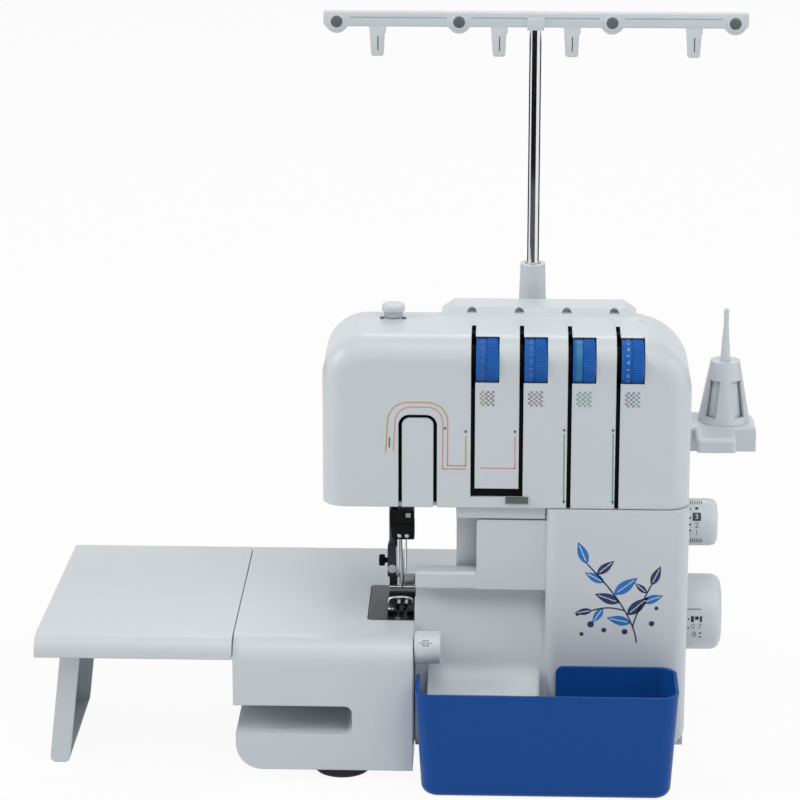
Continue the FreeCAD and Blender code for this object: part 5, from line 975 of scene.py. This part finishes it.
@dataclass
class SideControls:
    """The handwheel, the two stitch dials and the pressure knob."""

    length_stub: float = 22.0
    width_stub: float = 14.0
    sign_past: float = 7.6
    shown: str = "3"
    shown_turn: float = 31.0
    knob_foot: float = 302.6
    stop_back: float = 83.0
    stop_sides: Pair = (-7.4, 7.4)

    def build(self) -> None:
        """Build each control with its marks."""
        self.handwheel()
        self.length_dial()
        self.width_dial()
        self.knob()

    def handwheel(self) -> None:
        """Turn the wheel with a rounded rim and a dished outer face, and print its marks."""
        drum = Drum.of("handwheel")
        near = ((0, 6), (0, -0.9), (0.3, -0.3), (0.9, 0))
        far = (
            (-7.0, 0), (-4.0, -0.8), (-2.0, -2.2), (-0.6, -4.2), (0, -6.4), (-0.2, -8.4), (-2.6, -10.4),
            (-3.2, 6), (-3.2, 0.5),
        )
        make("handwheel_rim", drum.turned(near, far, 144), CASING, "handwheel_drive", ("handwheel",))
        dark = drum.marks(drum.low, (
            (2.2, 4.2, 0.4, 5.2, 8), (2.6, 2.4, 0.4, 8.2, 9.6), (1.6, 4.2, 0.4, 11.0, 8), (1.3, 1.3, 0.6, 2.4, 8),
            (1.3, 1.3, 0.6, 2.4, -6), (1.5, 1.5, 0.7, 10.6, -15), (1.5, 1.5, 0.7, 10.6, -22),
        ))
        make("handwheel_marks", dark, BLACK_INK, "handwheel_drive")
        grey = drum.marks(drum.low, ((9.6, 0.7, 0.2, 6.4, 23),))
        grey += drum.figures(drum.low, (("0", 5.4, 5.6, -4), ("7", 5.8, 10.2, -4), ("8", 6.6, 6.6, -18)))
        make("handwheel_signs", grey, GREY_INK, "handwheel_drive")

    def length_dial(self) -> None:
        """Turn the dial with a rounded outer edge, and print its figures, dots and grip lines."""
        drum = Drum.of("stitch_length_dial")
        stub, past = self.length_stub, self.sign_past
        face = drum.low + stub
        near = ((0, 4.0), (stub, 4.0), (stub, -0.9), (stub + 0.3, -0.3), (stub + 0.9, 0))
        far = ((-6.0, 0), (-2.6, -0.6), (-0.9, -1.8), (-0.2, -3.4), (0, -5.0), (0, 0.5))
        make("stitch_length_dial_grip", drum.turned(near, far, 128), CASING, "length_dial", ("stitch_length_dial",))
        dots = tuple((1.4, 1.4, 0.65, 3.0, turn) for turn in (51, 28, 12, -3))
        dark = drum.marks(face, ((5.8, 5.8, 0.6, past, self.shown_turn), *dots, (2.3, 2.1, 0.9, past, 53)))
        make("stitch_length_dial_marks", dark, BLACK_INK, "length_dial")
        figure = drum.wrap(glyphs(self.shown, 4.8, 0.24), face + past, self.shown_turn)
        make("stitch_length_dial_figure", [figure], WHITE_INK, "length_dial")
        grey = drum.figures(face, (("2", 5.8, past, 10), ("1", 5.8, past, -9), ("4", 5.8, past, 180)))
        grey += drum.marks(
            face + 3.6, tuple((0.8, 4.4, 0.2, 1.5 * step, turn) for turn in (74, -34) for step in range(6))
        )
        make("stitch_length_dial_figures", grey, GREY_INK, "length_dial")

    def width_dial(self) -> None:
        """Turn the small plain dial and print its sign."""
        drum = Drum.of("stitch_width_dial")
        stub = self.width_stub
        near = ((0, 2.9), (stub, 2.9), (stub, -1.6), (stub + 0.5, -0.5), (stub + 1.4, 0))
        far = ((-1.2, 0), (-0.4, -0.3), (0, -1.0), (0, 0.5))
        make("stitch_width_dial_grip", drum.turned(near, far, 96), CASING, "width_dial", ("stitch_width_dial",))
        marks = drum.marks(drum.low + stub + self.sign_past, (
            (4.0, 0.6, 0.2, 0.0, 44), (4.0, 0.6, 0.2, 0.0, 26), (0.6, 3.8, 0.2, -1.8, 35), (0.6, 3.8, 0.2, 1.8, 35),
            (1.8, 0.6, 0.2, 0.0, 35), (1.4, 0.7, 0.2, -3.6, 35), (1.4, 0.7, 0.2, 3.6, 35),
        ))
        make("stitch_width_dial_marks", marks, GREY_INK, "width_dial")

    def knob(self) -> None:
        """Turn the pressure knob, a rounded cap over a fluted collar, and the two stops beside it."""
        drum = Drum.of("pressure_knob", Plane.TOP)
        foot = self.knob_foot
        neck = foot - drum.low
        near = (
            (0, 3.0), (neck, 3.0), (neck, 5.6), (neck + 0.4, 6.1), (neck + 3.4, 6.1), (neck + 3.8, 6.4),
            (neck + 4.0, -0.4), (neck + 4.5, 0),
        )
        far = ((-1.4, 0), (-0.4, -0.5), (0, -1.6), (0, 0.5))
        fluted = flutes((0, 0, 0.6, 1, 1, 0.6, 0, 0, 0, 0, 0, 0), 0.3, 24, 240)
        make("pressure_knob_cap", drum.turned(near, far, 240, fluted), CASING, "knob", ("pressure_knob",), 45)
        stop = [(foot - 0.8, 1.5), (foot + 0.3, 1.5), (foot + 0.6, 1.0)]
        places = [(drum.centre[0] + side, self.stop_back) for side in self.stop_sides]
        make("pressure_knob_stops", [revolve(stop, place, 24, Plane.TOP) for place in places], GREY)


@dataclass
class NeedleArea:
    """The needle clamp, its screws, the presser foot and its shank."""

    clamp_size: Pair = (16.6, 11.0)
    clamp_middle: Pair = (-9.6, 165.5)
    window_size: Pair = (3.6, 3.4)
    window_middle: Pair = (-5.4, 166.6)
    clamp_under: tuple[Pair, ...] = (
        (-16.2, 149.4), (-1.5, 149.4), (-1.1, 150.4), (-1.1, 161.0), (-17.9, 161.0), (-17.0, 155.5),
    )
    clamp_screws: tuple[Pair, ...] = ((-11.2, 152.2), (-6.2, 152.2))
    spring: tuple[Triple, ...] = (
        (-10.8, 82.4, 148.0), (-10.6, 82.2, 138.0), (-9.8, 82.0, 128.0), (-9.6, 82.0, 118.0), (-10.2, 82.2, 111.0),
    )
    ankle_size: Pair = (11.0, 8.0)
    ankle_middle: Pair = (-6.6, 114.6)
    ankle_ends: Pair = (84.0, 89.5)
    sole_slots: tuple[Pair, ...] = ((-13.4, -10.8), (-8.4, -5.8))
    sole_thick: float = 1.6
    toe_rise: float = 2.6
    toe_share: float = 0.28
    pin_place: Pair = (84.0, 109.6)
    wire_middle: Triple = (-10.4, 67.0, 104.0)
    wire_reach: Pair = (7.8, 4.2)
    tip_middle: Pair = (-16.6, 55.2)
    plate_screw: Pair = (-11.6, 47.2)

    def build(self) -> None:
        """Build the clamp, the shank and the foot."""
        self.clamp()
        self.shank()
        self.foot()

    def clamp(self) -> None:
        """Build the clamp: a block with a square window over a stepped lower block, and two set screws."""
        (_, near, _), (_, far, _) = span("needle_clamp")
        outer = rounded(*self.clamp_size, (1.6, 1.2, 0.8, 0.8), self.clamp_middle)
        inner = rounded(*self.window_size, 0.4, self.window_middle)
        stack = np.stack([outer, outer, inner, inner, outer])
        ends = np.array([near + 0.4, far, far, near + 0.4, near + 0.4])[:, None]
        block = [grid(lay(stack[..., 0], stack[..., 1], ends, Plane.FRONT), True)]
        block.append(slab(np.array(self.clamp_under), near, far, 0.6))
        make("needle_clamp_block", block, BLACK, "needle_slider", ("needle_clamp",))
        head = [(near - 0.7, 0.4), (near - 0.7, 1.2), (near - 0.4, 1.5), (near + 0.6, 1.5)]
        heads = [revolve(head, place, 24) for place in self.clamp_screws]
        make("needle_clamp_screws", heads, STEEL, "needle_slider")
        wide, tall = self.window_size
        window = rounded(wide + 0.4, tall + 0.4, 0.5, self.window_middle)
        make("needle_clamp_stop", [slab(window, near + 0.9, near + 1.6, 0.1)], CASING, "needle_slider")

    def shank(self) -> None:
        """Build the shank: a channel block with a side spring, a ring, an ankle and the screw's thumb grip."""
        (left, near, _), (right, far, _) = span("foot_shank")
        middle = (left + right) / 2
        block = [
            slab(rounded(wide, tall, radii, (middle, up)), near + into, far - into, 0.5)
            for wide, tall, radii, up, into in (
                (right - left, 24.0, (2.4, 1.6, 0.8, 0.8), 129.0, 0),
                (5.4, 12.0, 0.5, 116.0, 1), (4.6, 12.0, 0.4, 144.0, 2),
            )
        ]
        make("foot_shank_block", block, DARK_STEEL, "presser", ("foot_shank",))
        trim = [bars([(middle + 2.4, 119.0), (middle + 2.4, 139.0)], 0.9, near - 0.3, near + 0.4)]
        trim.append(tube(np.array(self.spring), 1.0))
        ring = [(near - 0.8, 1.7), (near - 0.8, 3.0), (near - 0.2, 3.3), (near + 0.6, 3.3)]
        trim.append(revolve(ring, (middle - 0.8, 123.2), 32))
        trim.append(slab(rounded(*self.ankle_size, 0.8, self.ankle_middle), *self.ankle_ends, 0.5))
        make("foot_shank_trim", trim, STEEL, "presser")
        thumb = Drum.of("foot_screw")
        grip = ((0, 0.4), (0, -1.0), (0.6, -0.2), (3.6, -0.2), (4.2, -1.2), (4.2, 1.8))
        fluted = flutes((0, 0.6, 1, 1, 0, 0, 0), 0.25, 18, 144)
        make("foot_screw_thumb", thumb.turned(grip, ((0, 1.8),), 144, fluted), BLACK, "presser", ("foot_screw",))

    def foot(self) -> None:
        """Build the foot: a slotted sole with turned-up toes, a bridge, a cross pin and a front wire.

        At a share w of the way back a toe rises by toe_rise (1 - w / toe_share)^2, and by nothing past toe_share.
        """
        (left, near, low), (right, far, high) = span("presser_foot")
        way = np.linspace(0, 1, 25)[:, None]
        rise = self.toe_rise * np.clip(1 - way / self.toe_share, 0, 1) ** 2
        lift = np.array([0.0, 0.0, self.sole_thick, self.sole_thick])[None]
        edges = [left, *(edge for slot in self.sole_slots for edge in slot), right]
        runs = []
        for start, end in zip(edges[::2], edges[1::2]):
            across = np.array([start, end, end, start])[None]
            runs.append(loft(lay(across, near + (far - near) * way, low + rise + lift, Plane.TOP)))
        bridge = rounded(right - left, 10.0, 1.0, ((left + right) / 2, 86.0))
        runs.append(slab(bridge, low + 0.8, high - 3.0, 0.5, Plane.TOP))
        make("presser_foot_sole", runs, DARK_STEEL, "presser", ("presser_foot",))
        pin = np.array([(across, *self.pin_place) for across in (left, -10.0, right)])
        bow = np.linspace(0, math.pi, 21)
        middle, back, foot = self.wire_middle
        wide, tall = self.wire_reach
        wire = np.stack([middle - wide * np.cos(bow), np.full(21, back), foot + tall * np.sin(bow) ** 0.4], axis=1)
        tip = slab(rounded(4.0, 2.6, 0.6, self.tip_middle), low + 3.0, low + 4.0, 0.3, Plane.TOP)
        make("presser_foot_wires", [tube(pin, 1.2), tube(wire, 1.0), tip], BRIGHT, "presser")
        head = revolve([(99.9, 2.0), (100.15, 2.0), (100.35, 1.6)], self.plate_screw, 24, Plane.TOP)
        make("needle_plate_screw", [head], STEEL)


@dataclass
class Casings:
    """The casings' small parts: seam strips, the chute's lip, the back's louvres and screws, and the switch's signs."""

    back: float = 176.0
    vent: Triple = (113.0, 52.0, 6.2)
    rows: int = 8
    screws: tuple[Pair, ...] = ((54.0, 26.0), (172.0, 26.0), (54.0, 140.0), (172.0, 140.0))
    screw_cut: float = 1.6
    chute: tuple[float, ...] = (29.5, 68.0, 45.0, 117.4)
    seam: Triple = (21.0, 76.0, 116.0)
    bed_size: Pair = (1.3, 72.0)
    bed_middle: Pair = (0.3, 154.0)
    bed_rise: Pair = (96.0, 100.03)
    dip: float = 1.5
    sign_rise: float = 4.6
    sign_tall: float = 4.4
    lip_ends: Triple = (9.5, 58.0, 85.3)
    lip_heights: Pair = (74.9, 66.0)
    lip_edge: Pair = (12.5, 58.5)
    lip_rest: Pair = (23.0, 51.0)
    lip_wall: float = 1.4

    def build(self) -> None:
        """Build the strips, the chute's lip, the louvres, the screws and the signs."""
        self.strips()
        self.chute_lip()
        self.louvres()
        self.back_screws()
        self.signs()

    def slope(self, up: np.ndarray | float) -> np.ndarray | float:
        """Give the chute's face at some heights: a straight line from its foot to its head."""
        near, low, far, high = self.chute
        return near + (up - low) * (far - near) / (high - low)

    def strips(self) -> None:
        """Close the narrow seams beside the chute piece and along the bed: thin strips carried along their faces."""
        right, low, high = self.seam
        up = np.array([low - 0.9, high + 0.9])[:, None]
        across = right + np.array([-0.5, 0.9, 0.9, -0.5])[None]
        depth = np.array([-0.06, -0.06, -0.01, -0.01])[None]
        runs = [loft(lay(across, self.slope(up) + depth, up, Plane.TOP))]
        for foot, head in ((low - 0.9, low + 0.5), (high - 0.5, high + 0.9)):
            lift = np.array([foot, foot, head, head])[None]
            face = self.slope(lift) + np.array([-0.05, -0.01, -0.01, -0.05])[None]
            runs.append(loft(lay(face, lift, np.array([0.3, right + 0.9])[:, None], Plane.SIDE)))
        runs.append(slab(rounded(*self.bed_size, 0.05, self.bed_middle), *self.bed_rise, plane=Plane.TOP))
        make("casing_seam_strips", runs, BLEND)

    def chute_lip(self) -> None:
        """Carry the chute forward over the bin's open back with a hollow sheet on the cover.

        At t from 0 to 1 its section lies at (1 - t)^2 P + 2 t (1 - t) Q + t^2 R, with P and Q on the chute's slope
        and R at the lip's edge, and its back one wall behind, square to the section. Towards the right R draws
        back along a quarter ellipse, and the sheet ends where the cover can still slide past the bin's back.
        """
        t = np.linspace(0, 1, 18)[:, None]
        start, knee = (np.array([self.slope(up) - 0.05, up]) for up in self.lip_heights)
        left, bend, right = self.lip_ends
        turn = np.linspace(0, math.pi / 2, 14)
        across = np.append(left, bend + (right - bend) * np.sin(turn))
        share = np.append(0.0, 1 - np.cos(turn))[:, None, None]
        edge = np.array(self.lip_edge) + share * (np.array(self.lip_rest) - np.array(self.lip_edge))
        path = (1 - t) ** 2 * start + 2 * t * (1 - t) * knee + t**2 * edge
        way = unit(np.gradient(path, axis=1))
        rear = path + self.lip_wall * np.stack([-way[..., 1], way[..., 0]], axis=2)
        ring = np.concatenate([path, rear[:, ::-1]], axis=1)
        make("chute_lip", [loft(lay(ring[..., 0], ring[..., 1], across[:, None], Plane.SIDE))], BLEND, "cover")

    def louvres(self) -> None:
        """Build rows of air slots in the back as near-black sheets of painted shade, each under a small raised hood."""
        middle, low, pitch = self.vent
        near = self.back - 0.3
        slots, hoods = [], []
        # Near-black sheets: painted shade in the slot openings
        for up in (low + row * pitch for row in range(self.rows)):
            slots.append(slab(rounded(58.0, 2.6, 1.2, (middle, up)), near, self.back + 0.06))
            hoods.append(slab(rounded(60.0, 1.5, 0.6, (middle, up + 2.0)), near, self.back + 1.1, 0.4))
        make("back_air_slot_shades", slots, SHADE)
        make("back_air_hoods", hoods, CASING)

    def back_screws(self) -> None:
        """Turn the casing screws' heads, each in a near-black ring with a near-black cross on it, both painted shade in
        the recesses.
        """
        back, cut = self.back, self.screw_cut
        rim = [(back - 0.3, 4.6), (back + 0.05, 4.6), (back + 0.05, 0.5)]
        dome = [(back - 0.2, 3.6), (back + 0.3, 3.6), (back + 0.9, 2.8), (back + 1.1, 0.5)]
        rings = [revolve(rim, place, 32) for place in self.screws]
        heads = [revolve(dome, place, 32) for place in self.screws]
        for across, up in self.screws:
            for ends in ([(across - cut, up), (across + cut, up)], [(across, up - cut), (across, up + cut)]):
                rings.append(bars(ends, 0.8, back + 0.7, back + 1.14))
        # Near-black rings and crosses: painted shade in the counterbores and cross recesses
        make("back_screw_recess_shades", rings, SHADE)
        make("back_screw_heads", heads, STEEL)

    def signs(self) -> None:
        """Print the on and off signs on the power switch, whose face falls from both ends to its middle."""
        low, high = span("power_switch")
        _, middle, centre = (low + high) / 2
        half = (high[2] - low[2]) / 2
        runs = []
        for sign, up in (("O", centre + self.sign_rise), ("I", centre - self.sign_rise)):
            flat = glyphs(sign, self.sign_tall)
            rise = up + flat.points[:, 1]
            face = high[0] - self.dip * (1 - np.abs(rise - centre) / half) + flat.points[:, 2]
            runs.append(Surface(lay(middle + flat.points[:, 0], rise, face, Plane.SIDE), flat.faces))
        make("power_switch_signs", runs, WHITE_INK, "switch")


@dataclass
class CoverArt:
    """A plain leaf-and-berry sprig printed on the looper cover."""

    press: Press = Press(27.0)
    vein_press: Press = Press(27.0, 0.09, 0.0)
    root: Pair = (150.0, 92.0)
    stem: float = 1.0
    vein_line: float = 0.5
    berries: tuple[Triple, ...] = (
        (142, 100, 2.0), (128, 101, 1.7), (119, 105, 2.3), (113, 98, 1.4),
        (160, 106, 1.9), (163, 117, 1.4), (110, 112, 1.2),
    )

    def build(self) -> None:
        """Print the stems, the leaves in two blues, the veins and the berries."""
        rise = np.linspace(0, 1, 40)
        main = np.stack([self.root[0] - 34 * rise**1.6, self.root[1] + 56 * rise], axis=1)
        side = np.stack([main[8, 0] + 12 * rise, main[8, 1] + 30 * rise**0.8], axis=1)
        twig = np.stack([main[16, 0] - 22 * rise, main[16, 1] + 2 * np.sin(math.pi * rise)], axis=1)
        stems = [self.press.line(path, self.stem) for path in (main, side, twig)]
        make("cover_print_stems", stems, DEEP_INK, "cover")
        pale, deep, veins = [], [], []
        for path, place, turn, length, group in (
            (main, 10, 168, 17, pale), (main, 14, 42, 19, deep), (main, 20, 160, 18, deep), (main, 24, 38, 20, pale),
            (main, 30, 152, 15, pale), (main, 34, 40, 15, deep), (main, 39, 112, 17, pale), (side, 20, 20, 15, pale),
            (side, 30, 140, 11, deep), (side, 39, 66, 15, deep), (twig, 26, 236, 13, pale), (twig, 39, 190, 12, deep),
        ):
            group.append(self.leaf(path[place], turn, length))
            veins.append(self.vein(path[place], turn, length))
        make("cover_print_leaves_pale", pale, LEAF_INK, "cover")
        make("cover_print_leaves_deep", deep, DEEP_INK, "cover")
        make("cover_print_veins", veins, WHITE_INK, "cover")
        make("cover_print_berries", [self.press.dot(*berry, 24) for berry in self.berries], DEEP_INK, "cover")

    def turned(self, along: np.ndarray, side: np.ndarray, base: np.ndarray, turn: float) -> np.ndarray:
        """Turn a leaf's own coordinates and set them on its base.

        Args:
            along, side: the coordinates along the leaf and to its side.
            base: where it leaves the stem.
            turn: its direction in degrees.

        Returns:
            Points by 2.
        """
        angle = math.radians(turn)
        across = base[0] + along * math.cos(angle) - side * math.sin(angle)
        return np.stack([across, base[1] + along * math.sin(angle) + side * math.cos(angle)], axis=1)

    def leaf(self, base: np.ndarray, turn: float, length: float) -> Surface:
        """Print a leaf: its half width is a sine of the way along it, fuller towards the stem.

        Args:
            base: where it leaves the stem.
            turn: its direction in degrees.
            length: its length.

        Returns:
            The print.
        """
        way = np.linspace(0, 1, 18)
        half = 0.2 * length * np.sin(math.pi * way**0.8)
        along = np.concatenate([way, way[-2:0:-1]]) * length
        return self.press.fill(self.turned(along, np.concatenate([-half, half[-2:0:-1]]), base, turn))

    def vein(self, base: np.ndarray, turn: float, length: float) -> Surface:
        """Print a leaf's pale middle line, a little proud of it, from the leaf's base, direction and length."""
        along = np.linspace(0.15, 0.85, 5) * length
        return self.vein_press.line(self.turned(along, np.zeros(5), base, turn), self.vein_line)


@dataclass
class Studio:
    """Camera, soft lamps, cards for the shiny surfaces, floor and a white world."""

    place: Triple = (63.5, -2062.7, 888.8)
    tilt: float = 73.3
    swing: float = 2.0
    lens: float = 148.5
    sky: Triple = (0.94, 0.97, 1.0)
    fill: float = 0.33
    aim: Triple = (0.06, 0.0, 0.16)
    lamp_size: float = 1.6
    lamps: tuple[tuple[str, Triple, float], ...] = (
        ("front_right", (1.6, -2.4, 2.8), 27.0), ("front_top", (0.0, -1.6, 4.2), 27.0),
        ("left", (-3.2, -0.8, 2.0), 54.0), ("right", (3.2, -0.6, 1.8), 27.0), ("back", (0.3, 2.6, 2.8), 22.0),
    )
    cards: tuple[tuple[str, Pair, float, Pair, Finish], ...] = (
        ("front_card", (-66.0, 34.0), 0.9, (0.17, 0.36), SHADE), ("low_card", (-66.0, 34.0), 0.9, (0.0, 0.17), GREY),
        ("left_card", (-142.0, -98.0), 1.1, (0.0, 0.29), SHADE), ("right_card", (98.0, 142.0), 1.1, (0.0, 0.29), SHADE),
    )
    card_middle: float = 0.08
    floor_half: float = 6.0
    floor_tone: float = 0.84
    floor_glow: float = 0.93

    def build(self) -> None:
        """Build the camera, the world, the lamps, the cards and the floor."""
        self.camera()
        self.world()
        for lamp in self.lamps:
            self.lamp(*lamp)
        for card in self.cards:
            self.card(*card)
        self.floor()

    def camera(self) -> None:
        """Set the camera where the photograph was taken."""
        data = bpy.data.cameras.new("camera")
        data.lens, data.sensor_width, data.clip_end = self.lens, 36.0, 20.0
        camera = bpy.data.objects.new("camera", data)
        camera.location = (np.array(self.place) + CORNER) * MM
        camera.rotation_euler = (math.radians(self.tilt), 0.0, math.radians(self.swing))
        bpy.context.scene.collection.objects.link(camera)
        bpy.context.scene.camera = camera

    def show(self, lit: bpy.types.Node, seen: bpy.types.Node, share: float, end: str) -> None:
        """Light with one shader, and show another to camera, glossy and transmission rays.

        Args:
            lit: the shader that lights.
            seen: the shader that is seen.
            share: how much of it is seen.
            end: the name of the tree's output node.
        """
        tree = lit.id_data
        path = add_node(tree, "LightPath")
        last, out = path, "Is Camera Ray"
        for name in ("Is Glossy Ray", "Is Transmission Ray"):
            either = add_node(tree, "Math")
            either.operation = "MAXIMUM"
            wire(last, out, either, 0)
            wire(path, name, either, 1)
            last, out = either, 0
        part = add_node(tree, "Math")
        part.operation = "MULTIPLY"
        part.inputs[1].default_value = share
        wire(last, out, part, 0)
        mix = add_node(tree, "MixShader")
        wire(part, 0, mix, "Fac")
        wire(lit, 0, mix, 1)
        wire(seen, 0, mix, 2)
        wire(mix, 0, tree.nodes[end], "Surface")

    def world(self) -> None:
        """Light softly from all round, and show white behind the object."""
        world = bpy.data.worlds.new("studio")
        world.use_nodes = True
        bpy.context.scene.world = world
        tree = world.node_tree
        soft = set_inputs(tree.nodes["Background"], Color=(*self.sky, 1), Strength=self.fill)
        self.show(soft, add_node(tree, "Background", Color=(1, 1, 1, 1)), 1.0, "World Output")

    def lamp(self, name: str, place: Triple, power: float) -> None:
        """Hang a square soft lamp that points at the object.

        Args:
            name: its name.
            place: where it hangs, in metres.
            power: its watts.
        """
        data = bpy.data.lights.new(name, "AREA")
        data.size, data.energy = self.lamp_size, power
        lamp = bpy.data.objects.new(name, data)
        lamp.location = place
        lamp.rotation_euler = (Vector(self.aim) - Vector(place)).to_track_quat("-Z", "Y").to_euler()
        bpy.context.scene.collection.objects.link(lamp)

    def stand(self, name: str, surface: Surface, material: bpy.types.Material) -> bpy.types.Object:
        """Put a part of the stage into the scene.

        Args:
            name: its name.
            surface: its form, in metres.
            material: its material.

        Returns:
            The new object.
        """
        mesh = bpy.data.meshes.new(name)
        mesh.from_pydata(surface.points.tolist(), [], surface.faces[0].tolist())
        mesh.materials.append(material)
        piece = bpy.data.objects.new(name, mesh)
        bpy.context.scene.collection.objects.link(piece)
        return piece

    def card(self, name: str, arc: Pair, reach: float, ends: Pair, finish: Finish) -> None:
        """Stand a bent card round the object, seen only in shiny surfaces: an arc carried straight up.

        Args:
            name: its name.
            arc: where its arc starts and ends, in degrees from the front towards the right.
            reach: the arc's radius in metres.
            ends: its lowest and highest edge in metres.
            finish: what it is covered with.
        """
        turn = np.radians(np.linspace(*arc, 25))[None]
        bent = lay(self.card_middle + reach * np.sin(turn), -reach * np.cos(turn), np.array(ends)[:, None], Plane.TOP)
        card = self.stand(name, grid(bent, False), finish.material())
        card.visible_camera = card.visible_diffuse = False
        card.visible_shadow = card.visible_transmission = False

    def floor(self) -> None:
        """Lay a pale floor that shows white and keeps the object's shadow."""
        material = bpy.data.materials.new("floor_paper")
        material.use_nodes = True
        tree = material.node_tree
        tone = (self.floor_tone, self.floor_tone, self.floor_tone, 1)
        paper = set_inputs(tree.nodes["Principled BSDF"], Base_Color=tone, Roughness=0.9)
        self.show(paper, add_node(tree, "Emission", Strength=1.0), self.floor_glow, "Material Output")
        corners = np.array([(-1, -1, 0), (1, -1, 0), (1, 1, 0), (-1, 1, 0)]) * self.floor_half
        self.stand("floor", Surface(corners, [np.arange(4)[None]]), material)


def main() -> None:
    """Dress the machine, build its detail, and set up the studio."""
    logging.basicConfig(level=logging.INFO, format="%(name)s: %(message)s")
    bpy.context.scene.view_settings.view_transform = "Standard"
    dress_nodes()
    for kind in (Head, TensionUnits, ThreadPole, SideControls, NeedleArea, Casings, CoverArt, Studio):
        kind().build()
        log.info("built %s", kind.__name__)
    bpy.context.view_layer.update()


if __name__ == "__main__":
    main()
